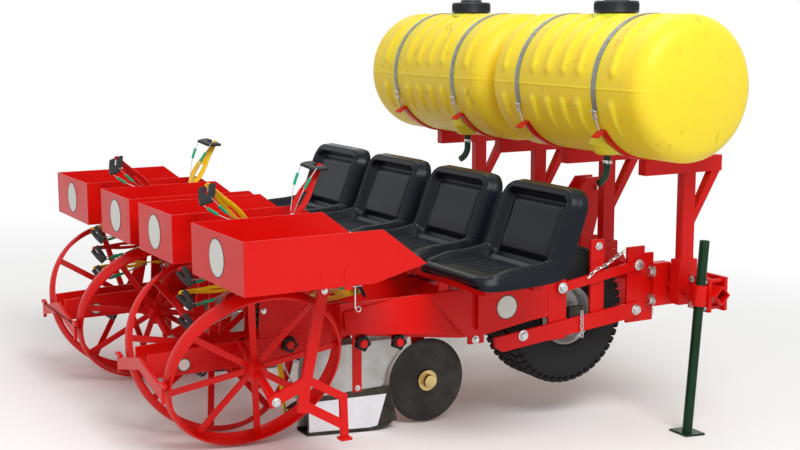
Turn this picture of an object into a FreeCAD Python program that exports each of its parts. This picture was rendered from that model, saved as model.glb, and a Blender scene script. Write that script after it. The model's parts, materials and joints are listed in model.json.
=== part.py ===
import FreeCAD, Part
import math
import os

# Bare root transplanter, two rows, carried on a three-point hitch.
# Working frame: +X forward (towards the tractor), +Y left, +Z up, in millimetres.
# Z = 0 is the plane under the drive tyres and press wheels while the machine works level.
# The finished machine is then parked: nose up by PARK_PITCH, on its shoes, press wheels
# and two plumb jack stands.

V = FreeCAD.Vector

# ---- overall driving dimensions ----
ROW = 475.0             # half the row spacing
SEAT_PITCH = ROW + 35.0
PARK_PITCH = 4.4        # nose-up angle when parked, degrees
SHOE_X = -680.0         # the parked floor passes through this point of the shoe runner
SHOE_Z = -59.0
RUN_CLEAR = 0.05        # radial clearance of shafts in hubs
SLIDE_CLEAR = 0.10      # radial clearance of a pipe in its collar

# ---- toolbar, hitch and stands ----
BAR_X = 527.0
BAR_Z = 368.0
BAR_SIDE = 51.0         # 2 inch square tube, carried as a diamond
BAR_WALL = 6.0
BAR_HALF = ROW + 453.0
MAST_T = 12.0
MAST_GAP = 60.0
TOP_PIN_Z = BAR_Z + 291.0
TOP_PIN_X = BAR_X + 101.0
LOWER_PIN_X = BAR_X + 96.0
MAST_HEIGHT = 460.0     # lower pins to top pin, category 1
LOWER_SPREAD = 683.0    # lower pin shoulders, category 1
PIN_R = 11.0
LUG_Y = 284.0           # middle of each lower hitch lug
LUG_T = 14.0
PIN_FREE = 82.0         # free length of a lower pin outside its shoulder
TOP_PIN_R = 9.5
STAND_Y = BAR_HALF - 53.0
STAND_R = 18.0
STAND_WALL = 4.0
STAND_ABOVE = 201.0
CLAMP_IN = 84.0         # reach of a stand clamp's plates from the pipe, towards the middle
CLAMP_T = 14.0
FOOT = 92.0
FOOT_T = 8.0

# ---- tank cradle ----
TANK_X = 348.0
TANK_Z = 1119.0
TANK_R = 260.0
TANK_LEN = 994.0
TANK_WALL = 5.0
TANK_CROWN = 26.0       # rise of the domed ends
TANK_CORNER = 48.0
CRADLE_IN = LUG_Y - 46.0    # inner posts, beams, bands and straps, from the middle
CRADLE_OUT = ROW + 237.0    # outer ones, clear of the row brackets
POST_DEEP = 57.0        # 2 1/4 by 1 1/2 inch tube, deep side fore and aft
POST_WIDE = 38.0
POST_X = BAR_X + 2.0
SLEEVE_T = 7.0          # wall of the sleeve at the foot of a post
SLEEVE_TOP = BAR_Z + 104.0
BEAM_Z = 797.0
BEAM_H = 60.0
BEAM_W = 42.0
BEAM_REAR = 316.0
BEAM_FRONT = 681.0
BAND_W = 40.0
BAND_T = 6.0
STRAP_W = 25.0
STRAP_T = 2.0
HOSE_X = -133.0         # outlet behind the middle of the tank
HOSE_SHIFT = -161.0     # both outlets lie to the right of their row
HOSE_R = 16.0
HOSE_DROP = 75.0
HOSE_BEND = 55.0
NECK_R = 72.0
NECK_H = 34.0           # neck above the crest of the tank
LID_R = 84.0
LID_H = 48.0

# ---- row unit ----
SIDE = 145.0            # link planes and side rails, each side of the row
LINK_T = 12.0
TRAY_REAR = -1359.0
TRAY_H = 163.0
TRAY_OVER_WHEEL = 20.0  # tray floor above the highest point of the press wheels
TRAY_T = 3.0
TRAY_GAP = 90.0         # half of the gap that the chain runs in
INNER_TRAY_W = ROW - TRAY_GAP - 50.0
OUTER_TRAY_W = 420.0
SEAT_W = 440.0
CHAIN_X = -1040.0
CHAIN_LOW = 365.0
CHAIN_HIGH = 604.0
CHAIN_R = 57.0
CHAIN_T = 16.0
CHAIN_W = 30.0
ARM_COUNT = 11
ARM_PHASE = 56.8        # length along the chain of the first arm above the lower sprocket
ARM_REACH = 332.0       # chain sprocket centre to the tip of an arm
ARM_T = 5.0
PLATE_Y = 62.0          # chain side plates, each side of the row
REAR_BAR_TOP = 330.0    # top edge of the rear bars, where the chain plates stand
RAIL_IDLERS = ((-794.0, 294.0), (-656.0, 282.0))     # tensioner bosses under each side rail
PLATE_T = 8.0
SHOE_HALF = 38.0
SHOE_SKIN = 4.0
COULTER_X = -452.0
COULTER_Z = 82.0
COULTER_R = 152.0
COULTER_T = 6.0
COULTER_AXLE_R = 10.0
WHEEL_X = -1195.0
WHEEL_R = 300.0
WHEEL_CANT = 24.0       # tops lean outwards
WHEEL_GAP = 62.0        # rim centre from the row centre where the wheel meets the ground
RIM_W = 56.0
RIM_T = 7.0
SPOKES = 8
SPOKE_W = 21.0          # flat bar
LEAN = math.radians(WHEEL_CANT)
WHEEL_Y = WHEEL_GAP + WHEEL_R * math.sin(LEAN)     # hub centre from the row centre
AXLE_R = 15.0
AXLE_OUT = 190.0        # axle lengths each side of the hub centre, before trimming to the frame
AXLE_IN = 150.0
SCRAPER_X = WHEEL_X - WHEEL_R - 9.0
SCRAPER_HALF = 215.0
SCRAPER_SLOPE = 13.0
FOOTREST_Y = WHEEL_Y + WHEEL_R * math.sin(LEAN) + RIM_W / 2 + 6.0     # inner face of a footrest
TYRE_X = 97.0
TYRE_Z = 277.0
TYRE_R = 259.0
TYRE_W = 205.0
TYRE_BEAD = 16.0        # rim edge in from the sidewall
TYRE_RIM_R = 102.0
TYRE_AXLE_R = 12.5

CY = -ROW               # centre of the right-hand row


# ---------------- helpers ----------------
def box(x0, x1, y0, y1, z0, z1):
    return Part.makeBox(x1 - x0, y1 - y0, z1 - z0, V(x0, y0, z0))


def prism(points, direction):
    face = Part.Face(Part.makePolygon(list(points) + [points[0]]))
    return face.extrude(direction)


def plate_xz(pts, y0, y1):
    return prism([V(x, y0, z) for x, z in pts], V(0, y1 - y0, 0))


def plate_xy(pts, z0, z1):
    return prism([V(x, y, z0) for x, y in pts], V(0, 0, z1 - z0))


def cyl(x, y, z, r, length, axis):
    return Part.makeCylinder(r, length, V(x, y, z), axis)


def shaft_y(x, z, y0, y1, r):
    return Part.makeCylinder(r, y1 - y0, V(x, y0, z), V(0, 1, 0))


def bar_xz(x0, z0, x1, z1, height, y0, y1):
    """Flat bar between two points of an XZ plane."""
    dx = x1 - x0
    dz = z1 - z0
    n = math.hypot(dx, dz)
    nx = -dz / n * height / 2
    nz = dx / n * height / 2
    pts = [(x0 + nx, z0 + nz), (x1 + nx, z1 + nz), (x1 - nx, z1 - nz), (x0 - nx, z0 - nz)]
    return plate_xz(pts, y0, y1)


def fuse(shapes):
    out = shapes[0]
    for s in shapes[1:]:
        out = out.fuse(s)
    return out.removeSplitter()


def mirrored(shape):
    return shape.mirror(V(0, 0, 0), V(0, 1, 0))


def diamond(cx, cz, side, y0, y1):
    h = side / math.sqrt(2)
    return plate_xz([(cx + h, cz), (cx, cz + h), (cx - h, cz), (cx, cz - h)], y0, y1)


def floor_z(x):
    """Height of the parked floor in the working frame."""
    return SHOE_Z - math.tan(math.radians(PARK_PITCH)) * (x - SHOE_X)


def park(shape):
    out = shape.copy()
    out.rotate(V(SHOE_X, 0, SHOE_Z), V(0, 1, 0), -PARK_PITCH)
    out.translate(V(0, 0, -SHOE_Z))
    return out


def park_point(x, y, z):
    a = math.radians(PARK_PITCH)
    dx = x - SHOE_X
    dz = z - SHOE_Z
    return V(SHOE_X + dx * math.cos(a) - dz * math.sin(a), y, dx * math.sin(a) + dz * math.cos(a))


# ---------------- toolbar, hitch and cradle ----------------
def toolbar():
    outer = diamond(BAR_X, BAR_Z, BAR_SIDE, -BAR_HALF, BAR_HALF)
    inner = diamond(BAR_X, BAR_Z, BAR_SIDE - 2 * BAR_WALL, -BAR_HALF - 1, BAR_HALF + 1)
    return [outer.cut(inner)]


def bar_core(y0, y1):
    return diamond(BAR_X, BAR_Z, BAR_SIDE, y0, y1)


def hitch_mast():
    """Two mast plates for the top link and four lugs for the lower pins."""
    out = []
    lower_z = TOP_PIN_Z - MAST_HEIGHT
    for side in (-1, 1):
        y0 = side * (MAST_GAP / 2 + MAST_T / 2) - MAST_T / 2
        rough = [(-54, -55), (51, -55), (136, 255), (136, 335), (51, 335), (-9, 255), (-54, 55)]
        plate = plate_xz([(BAR_X + x, BAR_Z + z) for x, z in rough], y0, y0 + MAST_T)
        plate = plate.cut(bar_core(-500, 500))
        plate = plate.cut(shaft_y(TOP_PIN_X, TOP_PIN_Z, -100, 100, TOP_PIN_R + 0.05))
        out.append(plate)
    for side in (-1, 1):
        mid = side * LUG_Y
        rough = [(-56, -50), (-56, 55), (51, 55), (131, -85), (131, -205), (61, -205)]
        plate = plate_xz([(BAR_X + x, BAR_Z + z) for x, z in rough], mid - LUG_T / 2, mid + LUG_T / 2)
        plate = plate.cut(bar_core(-500, 500))
        plate = plate.cut(shaft_y(LOWER_PIN_X, lower_z, -500, 500, PIN_R))
        out.append(plate)
    return out


def hitch_pins():
    lower_z = TOP_PIN_Z - MAST_HEIGHT
    reach = MAST_GAP / 2 + MAST_T + 18
    out = [shaft_y(TOP_PIN_X, TOP_PIN_Z, -reach, reach, TOP_PIN_R)]
    inner = LUG_Y - LUG_T / 2
    outer = LUG_Y + LUG_T / 2
    shoulder = LOWER_SPREAD / 2
    spans = [(inner - 16, shoulder + PIN_FREE, PIN_R), (inner - 16, inner, PIN_R + 7)]
    spans.append((outer, shoulder, PIN_R + 8))
    for side in (-1, 1):
        pin = []
        for a, b, r in spans:
            y0, y1 = sorted((side * a, side * b))
            pin.append(shaft_y(LOWER_PIN_X, lower_z, y0, y1, r))
        out.append(fuse(pin))
    return out


def cradle_ys():
    return [-CRADLE_OUT, -CRADLE_IN, CRADLE_IN, CRADLE_OUT]


def tank_posts():
    """Posts of rectangular tube, each in a sleeve that sits on the bar, with a saddle below it."""
    out = []
    deep = POST_DEEP / 2
    wide = POST_WIDE / 2
    for y in cradle_ys():
        post = box(POST_X - deep, POST_X + deep, y - wide, y + wide, BAR_Z, BEAM_Z)
        side = wide + SLEEVE_T
        sleeve = box(POST_X - deep - 14, POST_X + deep + 14, y - side, y + side, BAR_Z - 66, SLEEVE_TOP)
        out.append(fuse([post, sleeve]).cut(bar_core(y - 60, y + 60)))
    return out


def saddle_cut(y):
    return shaft_y(TANK_X, TANK_Z, y - 60, y + 60, TANK_R + BAND_T)


def cradle_beams():
    out = []
    for y in cradle_ys():
        beam = box(BEAM_REAR, BEAM_FRONT, y - BEAM_W / 2, y + BEAM_W / 2, BEAM_Z, BEAM_Z + BEAM_H)
        out.append(beam.cut(saddle_cut(y)))
    return out


def post_braces():
    out = []
    for y in cradle_ys():
        x0 = POST_X + POST_DEEP / 2
        pts = [(x0, BEAM_Z - 196), (x0, BEAM_Z - 146), (BEAM_FRONT - 46, BEAM_Z), (BEAM_FRONT - 4, BEAM_Z)]
        out.append(plate_xz(pts, y - 16, y + 16))
    return out


def arc_band(y, r0, r1, a0, a1, width):
    """Part of a ring about the tank axis, from angle a0 to a1 (degrees from +X, up positive)."""
    beg = math.radians(a0)
    mid = math.radians((a0 + a1) / 2)
    end = math.radians(a1)

    def at(a, r):
        return V(TANK_X + r * math.cos(a), y - width / 2, TANK_Z + r * math.sin(a))
    edges = [Part.Arc(at(beg, r0), at(mid, r0), at(end, r0)).toShape()]
    edges.append(Part.makeLine(at(end, r0), at(end, r1)))
    edges.append(Part.Arc(at(end, r1), at(mid, r1), at(beg, r1)).toShape())
    edges.append(Part.makeLine(at(beg, r1), at(beg, r0)))
    return Part.Face(Part.Wire(edges)).extrude(V(0, width, 0))


BAND_FROM = -146.0      # rear hook of a cradle band
BAND_TO = -32.0         # front end of a cradle band
HOOK_OUT = 44.0         # how far a band's hooked ends stand off the tank


def tank_bands():
    out = []
    for y in cradle_ys():
        band = arc_band(y, TANK_R, TANK_R + BAND_T, BAND_FROM, BAND_TO, BAND_W)
        tip = box(TANK_R + 1, TANK_R + HOOK_OUT, y - BAND_W / 2, y + BAND_W / 2, 0, BAND_T)
        tip.rotate(V(0, 0, 0), V(0, 1, 0), -BAND_FROM)
        tip.translate(V(TANK_X, 0, TANK_Z))
        out.append(fuse([band, tip]))
    return out


def tank_straps():
    out = []
    for y in cradle_ys():
        out.append(arc_band(y, TANK_R, TANK_R + STRAP_T, BAND_TO, 360 + BAND_FROM, STRAP_W))
    return out


def tank_body(offset):
    """Solid of revolution about Y: straight wall, rounded corners and shallow domed ends."""
    half = TANK_LEN / 2 - offset
    r = TANK_R - offset
    flat_r = r - TANK_CORNER
    dome_r = (flat_r ** 2 + TANK_CROWN ** 2) / (2 * TANK_CROWN)
    k = TANK_CORNER * (1 - math.sqrt(0.5))

    def dome_y(rho):
        return half - dome_r + math.sqrt(dome_r ** 2 - rho ** 2)

    def outline(sign):
        tip = V(0, sign * half, 0)
        mid = V(flat_r / 2, sign * dome_y(flat_r / 2), 0)
        rim = V(flat_r, sign * (half - TANK_CROWN), 0)
        bend = V(r - k, sign * (half - TANK_CROWN - k), 0)
        side = V(r, sign * (half - TANK_CROWN - TANK_CORNER), 0)
        return tip, mid, rim, bend, side
    t0, m0, r0, b0, s0 = outline(-1)
    t1, m1, r1, b1, s1 = outline(1)
    edges = [Part.Arc(t0, m0, r0).toShape(), Part.Arc(r0, b0, s0).toShape(), Part.makeLine(s0, s1)]
    edges += [Part.Arc(s1, b1, r1).toShape(), Part.Arc(r1, m1, t1).toShape(), Part.makeLine(t1, t0)]
    return Part.Face(Part.Wire(edges)).revolve(V(0, 0, 0), V(0, 1, 0), 360)


def tank(y):
    """Poly tank: hollow, with a filling neck on top."""
    outer = tank_body(0)
    neck = Part.makeCylinder(NECK_R, NECK_H + 40, V(0, 0, TANK_R - 40))
    inner = tank_body(TANK_WALL)
    bore = Part.makeCylinder(NECK_R - 8, 140, V(0, 0, TANK_R - 60))
    out = outer.fuse(neck).cut(inner).cut(bore).removeSplitter()
    out.translate(V(TANK_X, y, TANK_Z))
    return out


def tank_lid(y):
    """Screw lid: a skirt around the neck, a flat top and a raised boss."""
    z = TANK_Z + TANK_R
    skirt = Part.makeCylinder(LID_R, LID_H, V(TANK_X, y, z + 3))
    skirt = skirt.cut(Part.makeCylinder(NECK_R + 0.4, NECK_H - 3 + 0.3, V(TANK_X, y, z + 3)))
    boss = Part.makeCylinder(LID_R * 0.55, 12, V(TANK_X, y, z + 2 + LID_H))
    return fuse([skirt, boss])


def outlet_hose(y):
    """Outlet below a tank: a collar, a hose drop and an elbow that turns rearwards."""
    x = TANK_X + HOSE_X
    under = TANK_Z - math.sqrt(TANK_R ** 2 - HOSE_X ** 2)
    low = under - HOSE_DROP
    drop = Part.makeCylinder(HOSE_R, HOSE_DROP + 20, V(x, y, low))
    ring = Part.Face(Part.Wire(Part.makeCircle(HOSE_R, V(x, y, low), V(0, 0, 1))))
    elbow = ring.revolve(V(x - HOSE_BEND, y, low), V(0, 1, 0), 70)
    collar = Part.makeCylinder(HOSE_R + 8, 46, V(x, y, under - 26))
    tank_space = shaft_y(TANK_X, TANK_Z, y - 80, y + 80, TANK_R)
    return fuse([drop, elbow, collar]).cut(tank_space)


# ---------------- row unit, drawn for the right-hand row ----------------
def row_brackets():
    out = []
    for s in (-1, 1):
        y = CY + s * SIDE
        pts = [(330, 230), (455, 230), (455, 490), (412, 490), (412, 518), (330, 518)]
        plate = plate_xz(pts, y - 6, y + 6)
        y0, y1 = sorted((y - s * 6, y + s * 36))
        pts = [(436, 288), (552, 288), (546, 330), (512, 452), (436, 452)]
        block = plate_xz(pts, y0, y1)
        out.append(fuse([plate, block]).cut(bar_core(y - 80, y + 80)))
    return out


def link_arms():
    out = []
    for s in (-1, 1):
        y = CY + s * (SIDE + LINK_T)
        out.append(bar_xz(25, 398, 375, 450, 34, y - LINK_T / 2, y + LINK_T / 2))
        out.append(bar_xz(-290, 215, 380, 282, 58, y - LINK_T / 2, y + LINK_T / 2))
    return out


def link_uprights():
    """Rear upright of the linkage on each rail, and the tall drive upright ahead of it."""
    out = []
    for s in (-1, 1):
        y = CY + s * SIDE
        out.append(box(-28, 52, y - 6, y + 6, 205, 425))
        out.append(box(160, 222, y - 6, y + 6, 232, 560))
    return out


def drive_axles():
    """Cross axle of the drive tyre, held by a plate on the inside of each lower arm."""
    out = [shaft_y(TYRE_X, TYRE_Z, CY - 133, CY + 133, TYRE_AXLE_R)]
    for s in (-1, 1):
        a = CY + s * 133
        b = CY + s * (SIDE + LINK_T / 2)
        out.append(box(TYRE_X - 30, TYRE_X + 30, min(a, b), max(a, b), 225, 320))
    return [fuse(out)]


def side_rails():
    """Deep rails, shallower at the rear, with tabs below for the tensioners and a shackle."""
    out = []
    for s in (-1, 1):
        y = CY + s * SIDE
        pts = [(-28, 296), (-28, 420), (-110, 432), (-870, 432), (-870, 328), (-404, 262), (-290, 262),
               (-100, 290)]
        parts = [plate_xz(pts, y - 6, y + 6)]
        for x, z in RAIL_IDLERS:
            tab = [(x - 22, 342), (x - 16, z - 16), (x + 16, z - 16), (x + 22, 342)]
            parts.append(plate_xz(tab, y - 6, y + 6))
        parts.append(box(-368, -304, y - 6, y + 6, 233, 264))
        out.append(fuse(parts))
    return out


def cross_members():
    out = []
    for x in (-190, -380):
        out.append(box(x - 25, x + 25, CY - SIDE + 6, CY + SIDE - 6, 370, 420))
    return out


def guard_plates():
    """Sheet guards over the rails, with the shallow box for a plate at the front."""
    out = []
    for s in (-1, 1):
        a = CY + s * (SIDE + 6)
        b = CY + s * (SIDE + 10)
        pts = [(-340, 436), (-540, 436), (-644, 412), (-862, 362), (-862, 342), (-600, 314), (-410, 276),
               (-340, 276)]
        skin = plate_xz(pts, min(a, b), max(a, b))
        c = CY + s * (SIDE + 26)
        pts = [(-341, 286), (-341, 424), (-140, 424), (-107, 404), (-107, 330)]
        nose = plate_xz(pts, min(a, c), max(a, c))
        out.append(fuse([skin, nose]))
    return out


def seat_rails():
    """Two lateral angle bars and their risers that carry both seats of a row."""
    out = []
    for x in (-470, -280):
        out.append(box(x - 20, x + 20, -1.5 * SEAT_PITCH - 150, -0.5 * SEAT_PITCH + 150, 470, SEAT_BASE))
        for s in (-1, 1):
            y = CY + s * SIDE
            out.append(box(x - 20, x + 20, y - 6, y + 6, 432, 470))
    return [fuse([out[0], out[1], out[2]]), fuse([out[3], out[4], out[5]])]


def tray_base():
    """Height of the tray floors: just clear of the tops of the press wheels."""
    rise = 2 * (WHEEL_R * math.cos(LEAN) + RIM_W / 2 * math.sin(LEAN)) / math.cos(math.radians(PARK_PITCH))
    return floor_z(WHEEL_X) + rise + TRAY_OVER_WHEEL


def tray_top():
    return tray_base() + TRAY_H


def rounded_box(x0, x1, y0, y1, z0, z1, picks):
    """Box with some edges rounded; picks is a list of (test of the edge's middle point, radius)."""
    out = box(x0, x1, y0, y1, z0, z1)
    for test, radius in picks:
        edges = [e for e in out.Edges if e.Length > 60 and test(e.CenterOfMass)]
        out = out.makeFillet(radius, edges)
    return out


SEAT_FRONT = -552.0     # the edge under the operator's knees, which points rearwards
SEAT_BACK = -98.0
SEAT_BASE = 500.0
SEAT_TOP = 815.0


def seat(y):
    """High-back pan seat facing rearwards: a pan, a back and a raised rim round both."""
    w = SEAT_W / 2
    plan = rounded_box(SEAT_FRONT, SEAT_BACK, y - w, y + w, 480, 840,
                       [(lambda m: abs(m.z - 660) < 1 and m.x < SEAT_FRONT + 1, 85)])
    face = rounded_box(SEAT_FRONT, SEAT_BACK, y - w, y + w, 400, SEAT_TOP,
                       [(lambda m: m.z > SEAT_TOP - 1 and abs(m.x - (SEAT_FRONT + SEAT_BACK) / 2) < 1, 75)])
    shell = [(-552, 520), (-540, 504), (-500, SEAT_BASE), (-215, SEAT_BASE), (-182, 512), (-165, 540),
             (-98, 792), (-104, 812), (-122, 815), (-136, 806), (-222, 562), (-246, 540), (-500, 528),
             (-540, 534)]
    body = plate_xz(shell, y - w, y + w)
    rim = [(-552, 520), (-540, 504), (-500, SEAT_BASE), (-215, SEAT_BASE), (-182, 512), (-165, 540),
           (-98, 792), (-104, 812), (-122, 815), (-150, 806), (-236, 628), (-268, 592), (-330, 570),
           (-500, 560), (-540, 552), (-552, 536)]
    sides = []
    for s in (-1, 1):
        a = y + s * w
        b = y + s * (w - 46)
        sides.append(plate_xz(rim, min(a, b), max(a, b)))
    pts = [(-552, 520), (-540, 504), (-505, 510), (-505, 540), (-535, 552), (-552, 540)]
    lip = plate_xz(pts, y - w, y + w)
    pts = [(-112, 740), (-98, 792), (-104, 812), (-122, 815), (-150, 806), (-158, 786)]
    crest = plate_xz(pts, y - w, y + w)
    return fuse([body, lip, crest] + sides).common(plan).common(face)


def seats():
    return [seat(-1.5 * SEAT_PITCH), seat(-0.5 * SEAT_PITCH)]


def tray(y0, y1):
    zb = tray_base()
    top = tray_top()
    nose = zb + 45
    pts = [(TRAY_REAR, zb), (TRAY_REAR, top), (-902, top), (-749, nose), (-930, zb)]
    outer = plate_xz(pts, y0, y1)
    t = TRAY_T
    pts = [(TRAY_REAR + t, zb + t), (TRAY_REAR + t, top + 50), (-650, top + 50),
           (-650, nose + 24 + t), (-930, zb + t)]
    inner = plate_xz(pts, y0 + t, y1 - t)
    return outer.cut(inner).removeSplitter()


def trays():
    out = [tray(CY - TRAY_GAP - OUTER_TRAY_W, CY - TRAY_GAP)]
    out.append(tray(CY + TRAY_GAP, CY + TRAY_GAP + INNER_TRAY_W))
    return out


def tray_supports():
    """Square tubes across the chain side plates, under the trays."""
    zb = tray_base()
    out = []
    for x in (-1085, -960):
        for s in (-1, 1):
            a = CY + s * (PLATE_Y + PLATE_T / 2)
            b = CY + s * (FOOTREST_Y + 12)
            out.append(box(x - 12, x + 12, min(a, b), max(a, b), zb - 25, zb))
    return out


def chain_path_point(s):
    """Point, outward direction and travel direction at length s along the chain loop."""
    straight = CHAIN_HIGH - CHAIN_LOW
    half = math.pi * CHAIN_R
    total = 2 * straight + 2 * half
    s = s % total
    if s < straight:
        return (CHAIN_X - CHAIN_R, CHAIN_LOW + s, math.pi)
    s -= straight
    if s < half:
        a = math.pi - s / CHAIN_R
        return (CHAIN_X + CHAIN_R * math.cos(a), CHAIN_HIGH + CHAIN_R * math.sin(a), a)
    s -= half
    if s < straight:
        return (CHAIN_X + CHAIN_R, CHAIN_HIGH - s, 0.0)
    s -= straight
    a = -s / CHAIN_R
    return (CHAIN_X + CHAIN_R * math.cos(a), CHAIN_LOW + CHAIN_R * math.sin(a), a)


def stadium(r, y0, y1):
    a = shaft_y(CHAIN_X, CHAIN_LOW, y0, y1, r)
    b = shaft_y(CHAIN_X, CHAIN_HIGH, y0, y1, r)
    c = box(CHAIN_X - r, CHAIN_X + r, y0, y1, CHAIN_LOW, CHAIN_HIGH)
    return fuse([a, b, c])


def planting_chain():
    y0 = CY - CHAIN_W / 2
    y1 = CY + CHAIN_W / 2
    outer = stadium(CHAIN_R + CHAIN_T / 2, y0, y1)
    inner = stadium(CHAIN_R - CHAIN_T / 2, y0 - 1, y1 + 1)
    return [outer.cut(inner)]


def chain_sprockets():
    out = []
    for z in (CHAIN_LOW, CHAIN_HIGH):
        disc = shaft_y(CHAIN_X, z, CY - 5, CY + 5, CHAIN_R - CHAIN_T / 2 - 0.2)
        shaft = shaft_y(CHAIN_X, z, CY - PLATE_Y + PLATE_T / 2, CY + PLATE_Y - PLATE_T / 2, 14)
        out.append(fuse([disc, shaft]))
    return out


def arm_shape():
    """Leaf-shaped arm along +X from the chain, with its foot on the chain face."""
    reach = ARM_REACH - CHAIN_R - CHAIN_T / 2
    pts = [(0, -11), (0, 11), (60, 14), (120, 23), (165, 21), (reach, 9), (reach, -9), (165, -21),
           (120, -23), (60, -14)]
    return plate_xy(pts, -ARM_T / 2, ARM_T / 2)


def pad_shape():
    """Rubber pad with a U notch, hung from the trailing side of the arm tip."""
    reach = ARM_REACH - CHAIN_R - CHAIN_T / 2
    w = 28.0
    pts = [(0, -w), (-30, -w), (-66, -w * 0.72), (-66, w * 0.72), (-30, w), (0, w), (0, 11), (-26, 9),
           (-34, 0), (-26, -9), (0, -11)]
    pad = plate_xy(pts, -4, 4)
    pad.rotate(V(0, 0, 0), V(0, 1, 0), 62)
    pad.translate(V(reach - 8, 0, ARM_T / 2 + 0.5))
    return pad.cut(box(-50, reach + 50, -60, 60, -60, ARM_T / 2))


def place_on_chain(shape, s):
    x, z, a = chain_path_point(s)
    out = shape.copy()
    out.rotate(V(0, 0, 0), V(0, 1, 0), -math.degrees(a))
    k = CHAIN_T / 2
    out.translate(V(x + k * math.cos(a), CY, z + k * math.sin(a)))
    return out


def arm_stations():
    total = 2 * (CHAIN_HIGH - CHAIN_LOW) + 2 * math.pi * CHAIN_R
    return [total * i / ARM_COUNT + ARM_PHASE for i in range(ARM_COUNT)]


def arms(which):
    """Arms of one colour on both chains: the colours swap over between the two rows."""
    placed = [place_on_chain(arm_shape(), s) for s in arm_stations()]
    right = [a for i, a in enumerate(placed) if i % 2 == which]
    left = [mirrored(a) for i, a in enumerate(placed) if i % 2 != which]
    return right + left


def gripper_pads():
    return [place_on_chain(pad_shape(), s) for s in arm_stations()]


def rear_bars():
    """Long side plates of the planting end: from the shoe back between the wheels to the scraper."""
    out = []
    for s in (-1, 1):
        a = CY + s * (PLATE_Y - PLATE_T / 2)
        b = CY + s * (PLATE_Y + PLATE_T / 2)
        pts = [(SCRAPER_X, 244), (SCRAPER_X, 322), (-1290, REAR_BAR_TOP), (-780, REAR_BAR_TOP), (-780, 310),
               (-900, 262), (-1000, 244)]
        out.append(plate_xz(pts, min(a, b), max(a, b)))
    return out


def chain_uprights():
    """Plates that stand on the rear bars and carry both sprocket shafts."""
    out = []
    for s in (-1, 1):
        a = CY + s * (PLATE_Y - PLATE_T / 2)
        b = CY + s * (PLATE_Y + PLATE_T / 2)
        pts = [(-1125, REAR_BAR_TOP), (-1110, 650), (-970, 650), (-930, 420), (-805, 420),
               (-805, REAR_BAR_TOP)]
        out.append(plate_xz(pts, min(a, b), max(a, b)))
    return out


def idler_bosses():
    """Chain tensioner bosses: two on the outside of each rail, one on each chain side plate."""
    out = []
    for s in (-1, 1):
        spots = [(x, z, SIDE + 6) for x, z in RAIL_IDLERS] + [(-1023, 300, PLATE_Y + PLATE_T / 2)]
        for x, z, y0 in spots:
            a = CY + s * y0
            b = CY + s * (y0 + 22)
            out.append(shaft_y(x, z, min(a, b), max(a, b), 27))
    return out


def plate_ties():
    """Short tubes that tie the chain side plates to the side rails."""
    out = []
    for s in (-1, 1):
        a = CY + s * (PLATE_Y + PLATE_T / 2)
        b = CY + s * (SIDE - 6)
        out.append(box(-850, -810, min(a, b), max(a, b), 365, 410))
    return out


def shoe_outline(offset):
    h = SHOE_HALF + offset
    return [(-941, -h), (-720, -h), (-606 + offset, -8 - offset * 0.3), (-606 + offset, 8 + offset * 0.3),
            (-720, h), (-941, h)]


def shoe_ring(inner_offset, outer_offset, side_pts):
    outer = plate_xy([(x, y + CY) for x, y in shoe_outline(outer_offset)], -120, 330)
    pts = shoe_outline(inner_offset)
    pts = [(-1000, pts[0][1])] + pts[1:5] + [(-1000, pts[5][1])]
    inner = plate_xy([(x, y + CY) for x, y in pts], -130, 340)
    side = plate_xz(side_pts, CY - 90, CY + 90)
    return outer.cut(inner).common(side)


def shoes():
    """Furrow opener: two side plates that meet at a nose behind the coulter."""
    pts = [(-941, floor_z(-941) + 14), (-600, floor_z(-600) + 14), (-640, 40), (-652, 110), (-640, 190),
           (-618, 262), (-880, 262), (-941, 150)]
    return [shoe_ring(-SHOE_SKIN, 0, pts)]


def shoe_plates():
    pts = [(-941, floor_z(-941) + 14), (-600, floor_z(-600) + 14), (-634, 30), (-645, 72), (-941, 78)]
    return [shoe_ring(0, 3, pts)]


def shoe_runners():
    rear = floor_z(-941)
    front = floor_z(-600)
    pts = [(-941, rear), (-600, front), (-600, front + 14), (-941, rear + 14)]
    return [shoe_ring(-SHOE_SKIN, 3, pts)]


def shoe_hangers():
    """Straps that hang the shoe from the side rails, one each side, and the top plate over it."""
    out = []
    for s in (-1, 1):
        a = CY + s * SHOE_HALF
        b = CY + s * (SHOE_HALF + 6)
        c = CY + s * (SIDE - 6)
        strap = box(-770, -735, min(a, b), max(a, b), 90, 330)
        arm = box(-770, -735, min(a, c), max(a, c), 318, 330)
        lug = box(-770, -735, min(c, c - s * 6), max(c, c - s * 6), 318, 410)
        out.append(fuse([strap, arm, lug]))
    return out


def coulter_arms():
    """Bar down to the coulter axle, on the inner side of the disc, from a cross bar between the rails."""
    pts = [(-505, 340), (-440, 340), (COULTER_X + 18, COULTER_Z - 20), (COULTER_X - 18, COULTER_Z - 20)]
    out = [shaft_y(COULTER_X, COULTER_Z, CY - 24, CY + 52, COULTER_AXLE_R)]
    out.append(plate_xz(pts, CY + 36, CY + 46))
    out.append(box(-520, -425, CY - SIDE + 6, CY + SIDE - 6, 330, 345))
    return [fuse(out)]


def coulter():
    bevel = COULTER_T / 2 - 0.6
    out = V(0, 1, 0)
    near = Part.makeCone(COULTER_R - 14, COULTER_R, bevel, V(COULTER_X, CY - COULTER_T / 2, COULTER_Z), out)
    far = Part.makeCone(COULTER_R, COULTER_R - 14, bevel, V(COULTER_X, CY + 0.6, COULTER_Z), out)
    core = shaft_y(COULTER_X, COULTER_Z, CY - 0.6, CY + 0.6, COULTER_R)
    disc = fuse([near, core, far])
    return disc.cut(shaft_y(COULTER_X, COULTER_Z, CY - 50, CY + 50, 24.0))


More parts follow.
